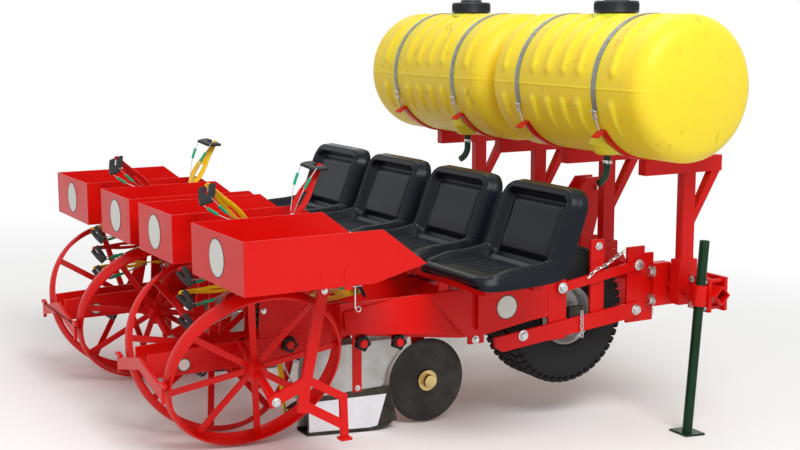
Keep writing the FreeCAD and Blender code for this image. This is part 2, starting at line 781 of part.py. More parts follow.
def coulter_hub():
    """Hub with a flange on each face of the disc, closed by a cap on the outer side."""
    hub = shaft_y(COULTER_X, COULTER_Z, CY - 34, CY + 30, 24.0)
    flange = shaft_y(COULTER_X, COULTER_Z, CY - 12, CY - COULTER_T / 2, 38)
    flange2 = shaft_y(COULTER_X, COULTER_Z, CY + COULTER_T / 2, CY + 12, 38)
    bore = shaft_y(COULTER_X, COULTER_Z, CY - 27, CY + 60, COULTER_AXLE_R + RUN_CLEAR)
    return fuse([hub, flange, flange2]).cut(bore)


def wheel_centre_z():
    drop = WHEEL_R * math.cos(LEAN) + RIM_W / 2 * math.sin(LEAN)
    return floor_z(WHEEL_X) + drop / math.cos(math.radians(PARK_PITCH))


def wheel_axis(side):
    """Outward direction of a press wheel's axle; side is -1 right of the row, +1 left of it."""
    return V(0, side * math.cos(LEAN), -math.sin(LEAN))


def lean_to(shape, side):
    """Stand a shape drawn along +Z on the canted axle of a press wheel."""
    out = shape.copy()
    out.rotate(V(0, 0, 0), V(1, 0, 0), -side * (90 + WHEEL_CANT))
    out.translate(V(WHEEL_X, CY + side * WHEEL_Y, wheel_centre_z()))
    return out


def press_wheel(side):
    a = V(WHEEL_R - 10, 0, -RIM_W / 2)
    b = V(WHEEL_R, 0, 0)
    c = V(WHEEL_R - 10, 0, RIM_W / 2)
    a2 = V(WHEEL_R - 10 - RIM_T, 0, -RIM_W / 2)
    b2 = V(WHEEL_R - RIM_T, 0, 0)
    c2 = V(WHEEL_R - 10 - RIM_T, 0, RIM_W / 2)
    edges = [Part.Arc(a, b, c).toShape(), Part.makeLine(c, c2)]
    edges += [Part.Arc(c2, b2, a2).toShape(), Part.makeLine(a2, a)]
    rim = Part.Face(Part.Wire(edges)).revolve(V(0, 0, 0), V(0, 0, 1), 360)
    hub = Part.makeCylinder(32, 76, V(0, 0, -38))
    parts = [rim, hub]
    for i in range(SPOKES):
        spoke = box(25, WHEEL_R - RIM_T + 2.5, -SPOKE_W / 2, SPOKE_W / 2, -4, 4)
        spoke.rotate(V(0, 0, 0), V(0, 0, 1), 360.0 * i / SPOKES + 11)
        parts.append(spoke)
    wheel = fuse(parts).cut(Part.makeCylinder(AXLE_R + RUN_CLEAR, 100, V(0, 0, -50)))
    return lean_to(wheel, side)


def wheel_axles():
    out = []
    for side in (-1, 1):
        shaft = Part.makeCylinder(AXLE_R, AXLE_OUT + AXLE_IN, V(0, 0, -AXLE_IN))
        face = PLATE_Y + PLATE_T / 2
        inside = box(WHEEL_X - 60, WHEEL_X + 60, CY - face, CY + face, 100, 500)
        outside = FOOTREST_Y
        a = CY + side * outside
        b = CY + side * (outside + 200)
        beyond = box(WHEEL_X - 60, WHEEL_X + 60, min(a, b), max(a, b), 0, 500)
        out.append(lean_to(shaft, side).cut(inside).cut(beyond))
    return out


def scraper_bars():
    """Cross bar behind the wheels: each half runs with its wheel's lean and ends in a small blade."""
    drop = math.tan(math.radians(SCRAPER_SLOPE)) * SCRAPER_HALF
    pts = [(-SCRAPER_HALF, 262 - drop), (0, 262), (SCRAPER_HALF, 262 - drop), (SCRAPER_HALF, 302 - drop),
           (0, 302), (-SCRAPER_HALF, 302 - drop)]
    bar = prism([V(SCRAPER_X - 12, CY + y, z) for y, z in pts], V(12, 0, 0))
    blades = []
    for s in (-1, 1):
        y = CY + s * SCRAPER_HALF
        blades.append(box(SCRAPER_X - 12, SCRAPER_X, y - 5, y + 5, 252 - drop, 322 - drop))
        blades.append(box(SCRAPER_X - 12, SCRAPER_X, y - 24, y + 24, 306 - drop, 318 - drop))
    return [fuse([bar] + blades)]


def drive_tyre():
    w = TYRE_W / 2
    r0 = TYRE_RIM_R
    prof = [(r0, TYRE_BEAD - w), (r0 + 24, 6 - w), (r0 + 75, -w), (TYRE_R - 32, 5 - w), (TYRE_R, 30 - w)]
    ring = [V(r, y, 0) for r, y in prof] + [V(r, -y, 0) for r, y in reversed(prof)]
    face = Part.Face(Part.makePolygon(ring + [ring[0]]))
    tyre = face.revolve(V(0, 0, 0), V(0, 1, 0), 360)
    tyre.translate(V(TYRE_X, CY, TYRE_Z))
    return tyre


def drive_rim():
    w = TYRE_W / 2 - TYRE_BEAD
    barrel = shaft_y(0, 0, -w, w, TYRE_RIM_R).cut(shaft_y(0, 0, -w - 1, w + 1, TYRE_RIM_R - 6))
    disc = shaft_y(0, 0, -6, 6, TYRE_RIM_R - 1)
    hub = shaft_y(0, 0, -70, 70, 34)
    out = fuse([barrel, disc, hub]).cut(shaft_y(0, 0, -100, 100, TYRE_AXLE_R + RUN_CLEAR))
    out.translate(V(TYRE_X, CY, TYRE_Z))
    return out


def axle_end_z():
    """Height of a wheel axle where it meets the footrest plate."""
    return wheel_centre_z() - (FOOTREST_Y - WHEEL_Y) * math.tan(LEAN)


def footrests():
    """Outboard posts from the tray supports down past the wheel to a foot bar, one each side."""
    out = []
    zb = tray_base()
    for s in (-1, 1):
        a = CY + s * FOOTREST_Y
        b = CY + s * (FOOTREST_Y + 12)
        y0 = min(a, b)
        y1 = max(a, b)
        post = bar_xz(-1025, zb - 26, -1092, 240, 36, y0, y1)
        leg = bar_xz(-1092, 256, -1104, 150, 36, y0, y1)
        toe = bar_xz(-1104, 176, -955, 85, 30, y0, y1)
        brace = bar_xz(-1100, 262, -960, 180, 26, y0, y1)
        drop = bar_xz(-962, 192, -958, 46, 26, y0, y1)
        foot = box(-976, -938, y0 - 12, y1 + 12, 40, 48)
        hub = bar_xz(WHEEL_X - 22, axle_end_z() - 2, -1088, 246, 38, y0, y1)
        head = box(-1042, -1008, y0, y1, zb - 60, zb - 25)
        out.append(fuse([post, leg, toe, brace, drop, foot, hub, head]))
    return out


# ---------------- parked assembly ----------------
def both(shapes):
    """Right-hand shapes and their mirror images on the left."""
    return shapes + [mirrored(s) for s in shapes]


def stand_place():
    """Plumb line of the right-hand stand behind the parked toolbar."""
    half = BAR_SIDE / math.sqrt(2)
    p = park_point(BAR_X - half - STAND_R - 9, -STAND_Y, BAR_Z)
    return p


def stand_clamp():
    """Two plates bolted up on the bar, above and below it, with the pipe collar on the rear one."""
    p = stand_place()
    half = BAR_SIDE / math.sqrt(2)
    y0 = -STAND_Y - 28
    y1 = -STAND_Y + CLAMP_IN
    rear = BAR_X - half - CLAMP_T + 6
    front = BAR_X + half - 6
    core = [box(rear, rear + CLAMP_T, y0, y1, BAR_Z - 62, BAR_Z + 62)]
    core.append(box(front, front + CLAMP_T, y0, y1, BAR_Z - 62, BAR_Z + 62))
    for y in (y0 + 20, y1 - 20):
        for z in (BAR_Z - 48, BAR_Z + 48):
            core.append(cyl(rear + 2, y, z, 8, front - rear, V(1, 0, 0)))
    collar = Part.makeCylinder(STAND_R + 9, 76, V(p.x, p.y, p.z - 38))
    body = fuse([park(fuse(core)), collar]).cut(park(bar_core(-STAND_Y - 90, -STAND_Y + 120)))
    return body.cut(Part.makeCylinder(STAND_R + SLIDE_CLEAR, 400, V(p.x, p.y, p.z - 200)))


def stand():
    p = stand_place()
    top = p.z + STAND_ABOVE
    tube = Part.makeCylinder(STAND_R, top - FOOT_T, V(p.x, p.y, FOOT_T))
    tube = tube.cut(Part.makeCylinder(STAND_R - STAND_WALL, top, V(p.x, p.y, FOOT_T)))
    foot = box(p.x - FOOT / 2, p.x + FOOT / 2, p.y - FOOT / 2, p.y + FOOT / 2, 0, FOOT_T)
    return fuse([tube, foot])


def build():
    row = {
        "row_brackets": row_brackets(),
        "link_arms": link_arms(),
        "link_uprights": link_uprights(),
        "drive_axles": drive_axles(),
        "side_rails": side_rails(),
        "cross_members": cross_members(),
        "guard_plates": guard_plates(),
        "seat_rails": seat_rails(),
        "seats": seats(),
        "trays": trays(),
        "tray_supports": tray_supports(),
        "planting_chains": planting_chain(),
        "chain_sprockets": chain_sprockets(),
        "gripper_pads": gripper_pads(),
        "rear_bars": rear_bars(),
        "chain_uprights": chain_uprights(),
        "plate_ties": plate_ties(),
        "idler_bosses": idler_bosses(),
        "shoes": shoes(),
        "shoe_plates": shoe_plates(),
        "shoe_runners": shoe_runners(),
        "shoe_hangers": shoe_hangers(),
        "coulter_arms": coulter_arms(),
        "wheel_axles": wheel_axles(),
        "scraper_bars": scraper_bars(),
        "footrests": footrests(),
    }
    nodes = {name: [park(s) for s in both(shapes)] for name, shapes in row.items()}
    tank_y = TANK_LEN / 2 + 6
    middle = {
        "toolbar": toolbar(),
        "hitch_mast": hitch_mast(),
        "hitch_pins": hitch_pins(),
        "tank_posts": tank_posts(),
        "cradle_beams": cradle_beams(),
        "post_braces": post_braces(),
        "tank_bands": tank_bands(),
        "tank_straps": tank_straps(),
        "right_tank": [tank(-tank_y)],
        "left_tank": [tank(tank_y)],
        "right_tank_lid": [tank_lid(-tank_y)],
        "left_tank_lid": [tank_lid(tank_y)],
        "outlet_hoses": [outlet_hose(HOSE_SHIFT - ROW), outlet_hose(HOSE_SHIFT + ROW)],
    }
    middle["red_arms"] = arms(0)
    middle["yellow_arms"] = arms(1)
    for name, shapes in middle.items():
        nodes[name] = [park(s) for s in shapes]
    turning = {
        "outer_press_wheel": press_wheel(-1),
        "inner_press_wheel": press_wheel(1),
        "coulter_disc": coulter(),
        "coulter_hub": coulter_hub(),
        "drive_tyre": drive_tyre(),
        "drive_rim": drive_rim(),
    }
    for name, shape in turning.items():
        nodes["right_" + name] = [park(shape)]
        nodes["left_" + name] = [park(mirrored(shape))]
    nodes["stand_clamps"] = both([stand_clamp()])
    nodes["right_stand"] = [stand()]
    nodes["left_stand"] = [mirrored(stand())]
    return nodes


def centre_shift(nodes):
    """Shift that puts the middle of the footprint at X = 0; the floor is Z = 0 already."""
    low = 1e9
    high = -1e9
    for shapes in nodes.values():
        for s in shapes:
            b = s.BoundBox
            low = min(low, b.XMin)
            high = max(high, b.XMax)
    return -(low + high) / 2


def main():
    os.makedirs("parts", exist_ok=True)
    nodes = build()
    shift = centre_shift(nodes)
    for name, shapes in nodes.items():
        solids = []
        for s in shapes:
            solids += s.Solids
        for s in solids:
            s.translate(V(shift, 0, 0))
        shape = solids[0] if len(solids) == 1 else Part.makeCompound(solids)
        shape.exportStep("parts/" + name + ".step")


if __name__ == "__main__":
    main()
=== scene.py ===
import json
import math

import bmesh
import bpy
from bpy.props import FloatProperty, IntProperty, PointerProperty, StringProperty
from mathutils import Matrix, Vector


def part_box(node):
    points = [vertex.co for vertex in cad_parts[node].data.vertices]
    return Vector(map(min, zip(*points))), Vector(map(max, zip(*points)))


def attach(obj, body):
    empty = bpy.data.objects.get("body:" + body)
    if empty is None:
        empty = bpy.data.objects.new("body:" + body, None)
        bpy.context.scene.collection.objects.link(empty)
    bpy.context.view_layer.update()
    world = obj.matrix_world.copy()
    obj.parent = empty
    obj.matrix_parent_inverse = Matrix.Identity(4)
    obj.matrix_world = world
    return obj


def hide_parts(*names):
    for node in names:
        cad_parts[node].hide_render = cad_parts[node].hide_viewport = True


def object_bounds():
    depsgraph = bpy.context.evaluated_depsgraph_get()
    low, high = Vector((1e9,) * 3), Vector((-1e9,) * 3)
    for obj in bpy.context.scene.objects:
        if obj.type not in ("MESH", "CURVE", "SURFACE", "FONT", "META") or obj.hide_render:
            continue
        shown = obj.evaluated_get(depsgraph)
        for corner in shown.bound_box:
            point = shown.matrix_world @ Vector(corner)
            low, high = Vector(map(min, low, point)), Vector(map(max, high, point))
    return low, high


bl_info = {
    "name": "Bare Root Transplanter",
    "version": (1, 0, 0),
    "blender": (4, 5, 0),
    "location": "View3D > Sidebar > Transplanter",
    "description": "Dresses the packed two-row transplanter: finishes, seats, tanks, chains and trim",
    "category": "Object",
}

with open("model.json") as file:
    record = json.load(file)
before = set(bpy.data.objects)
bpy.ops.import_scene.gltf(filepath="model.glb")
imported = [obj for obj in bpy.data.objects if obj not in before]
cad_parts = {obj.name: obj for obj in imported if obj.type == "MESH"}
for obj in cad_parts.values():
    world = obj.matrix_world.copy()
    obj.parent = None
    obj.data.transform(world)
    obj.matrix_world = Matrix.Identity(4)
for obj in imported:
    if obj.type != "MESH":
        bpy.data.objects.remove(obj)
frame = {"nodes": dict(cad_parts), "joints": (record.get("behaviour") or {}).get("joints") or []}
CAD_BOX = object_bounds()
NODES = frame["nodes"]
JOINTS = {joint["name"]: joint for joint in frame["joints"]}

# ---- the machine's working frame
# Drawn in mm: +X forward, +Y left, Z = 0 under the wheels. The parked machine is this frame, nose up.
ROWS = (-1, 1)                    # right-hand row, left-hand row
SIDES = (-1, 1)                   # right and left of a row's own middle
ROW = 475.0                       # half the row spacing
LID_AXIS = JOINTS["right_tank_lid_turn"]["axis"]
PITCH = math.atan2(-LID_AXIS[0], LID_AXIS[2])       # how far the parked machine stands nose up
DRIVE_AXLE = (97.0, 277.0)        # X and Z of the drive axle in the working frame
ANCHOR = Vector(JOINTS["right_drive_wheel_turn"]["pos_m"])
PARKED_TURN = Matrix.Rotation(-PITCH, 3, "Y")       # from the working frame to the parked machine
MM, M = 0.001, 1000.0             # a millimetre in Blender's metres, and a metre in millimetres
TO_M, TO_MM = Matrix.Scale(MM, 4), Matrix.Scale(M, 4)
LYING = Matrix.Rotation(math.pi / 2, 3, "X")        # lays a shape's own Z across the machine
CIRCLE = 2 * math.pi
POLE = 1e-6                       # a ring smaller than this is a point


def parked(x, y, z):
    """Point of the working frame (mm) on the parked machine (m)."""
    step = PARKED_TURN @ Vector((x - DRIVE_AXLE[0], 0.0, z - DRIVE_AXLE[1]))
    return Vector((ANCHOR.x + step.x * MM, y * MM, ANCHOR.z + step.z * MM))


def parked_at(spot, turn=Matrix.Identity(3)):
    """Places a mesh drawn in mm about its own origin at a point of the parked machine (m)."""
    return Matrix.Translation(spot) @ (PARKED_TURN @ turn).to_4x4() @ TO_M


def parked_matrix(origin=(0.0, 0.0, 0.0), turn=Matrix.Identity(3)):
    """Places a mesh drawn in mm about its own origin at a point of the working frame (mm)."""
    return parked_at(parked(*origin), turn)


# ---- small helpers
def hex_colour(code):
    """sRGB hex code to the linear colour that shaders take."""
    parts = [int(code[i:i + 2], 16) / 255 for i in (1, 3, 5)]
    return tuple(c / 12.92 if c <= 0.04045 else ((c + 0.055) / 1.055) ** 2.4 for c in parts) + (1.0,)


def add(tree, kind, inputs=None, **settings):
    """Adds a node; an input that is given a socket is linked, any other is set."""
    node = tree.nodes.new(kind)
    for key, value in settings.items():
        setattr(node, key, value)
    for key, value in (inputs or {}).items():
        if isinstance(value, bpy.types.NodeSocket):
            tree.links.new(value, node.inputs[key])
        else:
            node.inputs[key].default_value = value
    return node


def new_material(name):
    """An empty material, its tree, and the Object coordinates that its pattern reads."""
    made = bpy.data.materials.new(name)
    made.use_nodes = True
    made.node_tree.nodes.clear()
    return made, made.node_tree, add(made.node_tree, "ShaderNodeTexCoord").outputs["Object"]


def in_scene(name, data):
    """A new object in the scene."""
    made = bpy.data.objects.new(name, data)
    bpy.context.scene.collection.objects.link(made)
    return made


def plain_mesh(held):
    """An object's mesh as its modifiers leave it; the object itself goes."""
    mesh = bpy.data.meshes.new_from_object(held.evaluated_get(bpy.context.evaluated_depsgraph_get()))
    bpy.data.objects.remove(held)
    return mesh


def ramp(value, low, high):
    """Smooth step from 0 at low to 1 at high."""
    t = min(max((value - low) / (high - low), 0.0), 1.0)
    return t * t * (3 - 2 * t)


def swell(value, low, full, past, end):
    """Smooth hump: 0 below low, 1 from full to past, 0 again beyond end."""
    return ramp(value, low, full) * (1 - ramp(value, past, end))


def bell(value, width, power=2):
    """1 at 0, falling away smoothly over the width on both sides."""
    return math.exp(-(value / width) ** power)


def round_steps(count, start=0.0):
    """Even steps round a circle, in radians."""
    return [CIRCLE * (i + start) / count for i in range(count)]


# ---- finishes
# Every pattern reads Object coordinates in metres, so "Scale" below is one over a real size.
def surfaced(made, tree, base, gloss, height, strength, relief, sockets):
    """Ends a finish: its colour, its gloss and its fine relief (m) meet in one shader."""
    bump = add(tree, "ShaderNodeBump", {"Height": height, "Strength": strength, "Distance": relief})
    shader = add(tree, "ShaderNodeBsdfPrincipled", {
        "Base Color": base, "Roughness": gloss, "Normal": bump.outputs["Normal"], **sockets})
    add(tree, "ShaderNodeOutputMaterial", {"Surface": shader.outputs["BSDF"]})
    return made


def enamel(name, colour, worn, roughness):
    """Sprayed alkyd enamel on steel: glossy, with orange peel a few mm wide and a light film of dust."""
    made, tree, spot = new_material(name)
    cloud = add(tree, "ShaderNodeTexNoise", {"Vector": spot, "Scale": 3.2, "Detail": 4.0, "Roughness": 0.6})
    peel = add(tree, "ShaderNodeTexNoise", {"Vector": spot, "Scale": 210.0, "Detail": 2.0})
    chips = add(tree, "ShaderNodeTexNoise", {"Vector": spot, "Scale": 62.0, "Detail": 6.0, "Roughness": 0.72})
    film = add(tree, "ShaderNodeValToRGB", {"Fac": cloud.outputs["Fac"]})
    for stop, position, code in zip(film.color_ramp.elements, (0.35, 0.85), (colour, worn)):
        stop.position, stop.color = position, hex_colour(code)
    bare = add(tree, "ShaderNodeMapRange", {"Value": chips.outputs["Fac"], "From Min": 0.735, "From Max": 0.765})
    paint = add(tree, "ShaderNodeMix", {"Factor": bare.outputs["Result"], "A": film.outputs["Color"],
                                        "B": hex_colour("#5a4a44")}, data_type="RGBA")
    gloss = add(tree, "ShaderNodeMapRange", {"Value": cloud.outputs["Fac"], "From Min": 0.3, "From Max": 0.75,
                                             "To Min": roughness - 0.07, "To Max": roughness + 0.1})
    height = add(tree, "ShaderNodeMath", {0: peel.outputs["Fac"], 1: bare.outputs["Result"]}, operation="SUBTRACT")
    return surfaced(made, tree, paint.outputs["Result"], gloss.outputs["Result"], height.outputs["Value"],
                    0.16, 0.0006, {"IOR": 1.42, "Specular IOR Level": 0.3})


def moulded(name, colour, shade, grain_mm, relief_mm, roughness, scuffs=0.0, scuff="#6b5a38", rare=0.66,
            glint=0.3, glow=0.0):
    """Moulded polymer or rubber: a fine grain, slow changes of shade, and rubbed or dusty spots."""
    made, tree, spot = new_material(name)
    cloud = add(tree, "ShaderNodeTexNoise", {"Vector": spot, "Scale": 6.5, "Detail": 5.0, "Roughness": 0.62})
    grain = add(tree, "ShaderNodeTexVoronoi", {"Vector": spot, "Scale": M / grain_mm}, feature="SMOOTH_F1")
    rub = add(tree, "ShaderNodeTexNoise", {"Vector": spot, "Scale": 14.0, "Detail": 7.0, "Roughness": 0.7})
    base = add(tree, "ShaderNodeMix", {"Factor": cloud.outputs["Fac"], "A": hex_colour(colour),
                                       "B": hex_colour(shade)}, data_type="RGBA")
    mark = add(tree, "ShaderNodeMapRange", {"Value": rub.outputs["Fac"], "From Min": rare,
                                            "From Max": rare + 0.14, "To Max": scuffs})
    skin = add(tree, "ShaderNodeMix", {"Factor": mark.outputs["Result"], "A": base.outputs["Result"],
                                       "B": hex_colour(scuff)}, data_type="RGBA")
    gloss = add(tree, "ShaderNodeMapRange", {"Value": cloud.outputs["Fac"], "From Min": 0.25, "From Max": 0.8,
                                             "To Min": roughness - 0.06, "To Max": roughness + 0.09})
    return surfaced(made, tree, skin.outputs["Result"], gloss.outputs["Result"], grain.outputs["Distance"],
                    0.5, relief_mm * MM, {"IOR": 1.5, "Specular IOR Level": glint, "Subsurface Weight": glow,
                                             "Subsurface Scale": 0.09})


def plated(name, colour, dull, spangle_mm, roughness, metallic=1.0):
    """Zinc or galvanised steel: crystals of slightly different grey, each with its own gloss."""
    made, tree, spot = new_material(name)
    crystal = add(tree, "ShaderNodeTexVoronoi", {"Vector": spot, "Scale": M / spangle_mm})
    tone = add(tree, "ShaderNodeRGBToBW", {"Color": crystal.outputs["Color"]}).outputs["Val"]
    base = add(tree, "ShaderNodeMix", {"Factor": tone, "A": hex_colour(dull), "B": hex_colour(colour)},
               data_type="RGBA")
    gloss = add(tree, "ShaderNodeMapRange", {"Value": tone, "To Min": roughness + 0.1, "To Max": roughness - 0.1})
    return surfaced(made, tree, base.outputs["Result"], gloss.outputs["Result"], tone, 0.12, 0.0003,
                    {"Metallic": metallic})


ALONG, EVERY_WAY = (1.0, 1.0, 26.0), (1.0, 1.0, 1.0)      # how a worked surface's lines are drawn out


def worked_steel(name, colour, stain, roughness, metallic, lay=ALONG, relief_mm=0.25, patch=9.0):
    """Rolled, brushed or soil-polished steel: fine lines along the lay, and stained patches."""
    made, tree, spot = new_material(name)
    drawn = add(tree, "ShaderNodeMapping", {"Vector": spot, "Scale": lay})
    lines = add(tree, "ShaderNodeTexNoise", {"Vector": drawn.outputs["Vector"], "Scale": 38.0, "Detail": 4.0,
                                             "Roughness": 0.7})
    blot = add(tree, "ShaderNodeTexNoise", {"Vector": spot, "Scale": patch, "Detail": 6.0, "Roughness": 0.65})
    soil = add(tree, "ShaderNodeMapRange", {"Value": blot.outputs["Fac"], "From Min": 0.42, "From Max": 0.72})
    base = add(tree, "ShaderNodeMix", {"Factor": soil.outputs["Result"], "A": hex_colour(colour),
                                       "B": hex_colour(stain)}, data_type="RGBA")
    gloss = add(tree, "ShaderNodeMapRange", {"Value": lines.outputs["Fac"], "From Min": 0.25, "From Max": 0.75,
                                             "To Min": roughness - 0.1, "To Max": roughness + 0.14})
    return surfaced(made, tree, base.outputs["Result"], gloss.outputs["Result"], lines.outputs["Fac"], 0.25,
                    relief_mm * MM, {"Metallic": metallic})


FINISHES = {}


def make_finishes(paint):
    """All the machine's finishes, by the name that the pieces use."""
    FINISHES.update({
        # glossy red alkyd: a clean saturated red, a shade lighter where dust has settled
        "red enamel": enamel("red_enamel", paint.red, "#d8140e", 0.34),
        "yellow enamel": enamel("yellow_enamel", paint.yellow, "#f0bf2a", 0.32),
        "green enamel": enamel("green_enamel", paint.green, "#0b3a1c", 0.34),
        "black enamel": enamel("black_enamel", "#0e0e0f", "#1b1a19", 0.36),
        # rotomoulded polyethylene: waxy, slightly pebbled, with a few brown scuffs on its ribs
        "polyethylene": moulded("yellow_polyethylene", paint.tank, "#f1d42c", 4.0, 0.25, 0.42, scuffs=0.55,
                                rare=0.595, glow=0.5),
        # injection-moulded lid: a fine spark-eroded grain
        "polypropylene": moulded("black_polypropylene", "#0c1016", "#151a22", 1.6, 0.1, 0.42, scuffs=0.15,
                                 scuff="#3a3d42"),
        # calendered vinyl skin over foam: leather grain about 2 mm wide, a soft blue-black sheen
        "vinyl": moulded("seat_vinyl", paint.vinyl, "#10151d", 2.4, 0.18, 0.3, scuffs=0.12, scuff="#1d2127",
                         glint=0.18),
        # compression-moulded rubber pads: matte, with a grey bloom
        "pad rubber": moulded("pad_rubber", "#1f2021", "#2b2c2d", 2.0, 0.15, 0.62, scuffs=0.35, scuff="#5a5a58"),
        # tyre rubber: matte, with dry dust in its pores
        "tyre rubber": moulded("tyre_rubber", "#151516", "#1e1e1e", 3.0, 0.3, 0.72, scuffs=0.5, scuff="#4d463d"),
        # green hose: extruded rubber with a satin skin
        "hose rubber": moulded("hose_rubber", "#0a2216", "#143a26", 3.0, 0.15, 0.45),
        # soft vinyl tube on the gripper wires
        "sleeve vinyl": moulded("sleeve_vinyl", "#17a97e", "#21b98c", 2.0, 0.05, 0.35),
        # blank pale label film, and the dark printed ring round it
        "label film": moulded("label_film", "#dcdcd6", "#cfcfc8", 6.0, 0.02, 0.4, scuffs=0.12, scuff="#a8a49a"),
        "label border": moulded("label_border", "#3a3b3d", "#45464a", 6.0, 0.02, 0.45),
        # hot-dip galvanised strap: grey spangle about 9 mm across
        "galvanised": plated("galvanised_steel", "#989d9b", "#747978", 9.0, 0.42, 0.85),
        # bright zinc on bolts, clips and wires
        "zinc": plated("zinc_plate", "#dcdedd", "#b9bcbb", 2.0, 0.3),
        # yellow-passivated zinc casting of the coulter hubs
        "yellow zinc": plated("yellow_zinc", "#d6c188", "#cbb274", 14.0, 0.26),
        # silver wheel paint: aluminium flake, half metallic
        "silver paint": plated("silver_wheel_paint", "#c9cbcc", "#b5b8b9", 3.0, 0.38, 0.6),
        # soil-polished opener: dull grey rolled steel, lines along the travel
        "rolled steel": worked_steel("rolled_steel", "#bfc1c0", "#a09e97", 0.44, 0.7),
        # bright wear plate, brushed along the travel
        "bright steel": worked_steel("bright_steel", "#f0f4f9", "#dfe4ea", 0.34, 0.6, relief_mm=0.02),
        # oiled chain and bare dark steel
        "oiled steel": worked_steel("oiled_steel", "#4b4742", "#2b2622", 0.42, 0.9, EVERY_WAY, 0.2, 22.0),
        # hardened coulter blade: black oxide, rubbed grey in patches
        "blued steel": worked_steel("blued_steel", "#2c2b29", "#45423d", 0.5, 0.55, EVERY_WAY, 0.3, 12.0),
    })


# ---- shapes, drawn in mm as (points, faces)
def skin(rings, sides):
    """Faces between each ring of point numbers and the next; a ring of one point is a pole."""
    faces = []
    for low, high in zip(rings, rings[1:]):
        for i in range(sides):
            j = (i + 1) % sides
            corner = (low[i % len(low)], low[j % len(low)], high[j % len(high)], high[i % len(high)])
            faces.append(tuple(dict.fromkeys(corner)))
    return faces


def turned(profile, sides=48, ring=False):
    """Revolves (radius, height) pairs about Z. A radius of 0 closes an end; a ring joins its last pair to its first."""
    points, rings = [], []
    for radius, height in profile:
        count = sides if radius > POLE else 1
        rings.append([len(points) + i for i in range(count)])
        points += [(radius * math.cos(a), radius * math.sin(a), height) for a in round_steps(count)]
    return points, skin(rings + (rings[:1] if ring else []), sides)


def post(radius, low, high, sides):
    """Straight pin about Z, round or with flats."""
    return turned([(0, low), (radius, low), (radius, high), (0, high)], sides)


def swept(path, radius, sides=10, closed=False):
    """Round rod of one radius along a list of points."""
    spine = [Vector(p) for p in path]
    count = len(spine)
    points, faces = [], []
    side = None
    for i, spot in enumerate(spine):
        before = spine[i - 1] if closed or i else spot
        after = spine[(i + 1) % count] if closed or i < count - 1 else spot
        ahead = (after - before).normalized()
        if side is None:
            side = ahead.orthogonal().normalized()
        side = (side - ahead * side.dot(ahead)).normalized()
        other = ahead.cross(side)
        points += [spot + (side * math.cos(a) + other * math.sin(a)) * radius for a in round_steps(sides)]
    for i in range(count if closed else count - 1):
        low, high = i * sides, (i + 1) % count * sides
        faces += [(low + k, low + (k + 1) % sides, high + (k + 1) % sides, high + k) for k in range(sides)]
    if not closed:
        faces += [tuple(reversed(range(sides))), tuple(range((count - 1) * sides, count * sides))]
    return points, faces


def slab(outline, low, high):
    """Plate with a convex or simple outline in XY between two heights."""
    count = len(outline)
    points = [(x, y, low) for x, y in outline] + [(x, y, high) for x, y in outline]
    faces = [tuple(reversed(range(count))), tuple(range(count, 2 * count))]
    faces += [(i, (i + 1) % count, count + (i + 1) % count, count + i) for i in range(count)]
    return points, faces


def block(x0, x1, y0, y1, low, high):
    """Rectangular plate between two heights."""
    return slab([(x0, y0), (x1, y0), (x1, y1), (x0, y1)], low, high)


def upright(outline, y0, y1):
    """Plate of the parked machine, its outline in X and Z, between two distances across."""
    y0, y1 = sorted((y0, y1))
    return moved(slab(outline, -y1, -y0), parked_matrix() @ LYING.to_4x4())


def moved(part, matrix):
    """A part put somewhere else by a matrix."""
    return [matrix @ Vector(p) for p in part[0]], part[1]


def at(x, y, z, turn=Matrix.Identity(3)):
    """Matrix that turns a part and carries it to a point."""
    return Matrix.Translation((x, y, z)) @ turn.to_4x4()


def mesh_of(name, points, faces, edges=()):
    """Bare mesh of points, faces and loose edges."""
    mesh = bpy.data.meshes.new(name)
    mesh.from_pydata([tuple(p) for p in points], edges, faces)
    return mesh


def merged(mesh, distance=1e-6):
    """Joins the corners of a mesh that are closer than a distance (m) and turns its faces outwards."""
    work = bmesh.new()
    work.from_mesh(mesh)
    bmesh.ops.remove_doubles(work, verts=work.verts, dist=distance)
    bmesh.ops.recalc_face_normals(work, faces=work.faces)
    work.to_mesh(mesh)
    work.free()
    return mesh


def shaded(mesh, angle=38.0):
    """Smooth shading that breaks at edges sharper than the angle."""
    work = bmesh.new()
    work.from_mesh(mesh)
    for face in work.faces:
        face.smooth = True
    for edge in work.edges:
        edge.smooth = len(edge.link_faces) == 2 and edge.calc_face_angle(0.0) < math.radians(angle)
    work.to_mesh(mesh)
    work.free()
    return mesh


def joined(name, parts, place=Matrix.Identity(4), smooth=38.0):
    """One mesh of several closed parts, put in its place, with its faces turned outwards."""
    points, faces = [], []
    for part in parts:
        start = len(points)
        points += [place @ Vector(p) for p in part[0]]
        faces += [tuple(start + i for i in face) for face in part[1]]
    return shaded(merged(mesh_of(name, points, faces), 2e-6), smooth)


def together(*meshes):
    """One mesh of several, each keeping its shading."""
    work = bmesh.new()
    for mesh in meshes:
        work.from_mesh(mesh)
        bpy.data.meshes.remove(mesh)
    out = bpy.data.meshes.new("together")
    work.to_mesh(out)
    work.free()
    return out


def flat_shape(name, outline, thickness, edge):
    """Plate cut from sheet (mm), with rolled edges, in XY."""
    curve = bpy.data.curves.new(name, "CURVE")
    curve.dimensions, curve.fill_mode = "2D", "BOTH"
    curve.extrude = (thickness / 2 - edge) * MM
    curve.bevel_depth, curve.bevel_resolution = edge * MM, 1
    curve.offset = -edge * MM
    line = curve.splines.new("POLY")
    line.points.add(len(outline) - 1)
    for point, (x, y) in zip(line.points, outline):
        point.co = (x * MM, y * MM, 0.0, 1.0)
    line.use_cyclic_u = True
    mesh = plain_mesh(in_scene(name, curve))
    bpy.data.curves.remove(curve)
    return shaded(merged(mesh))


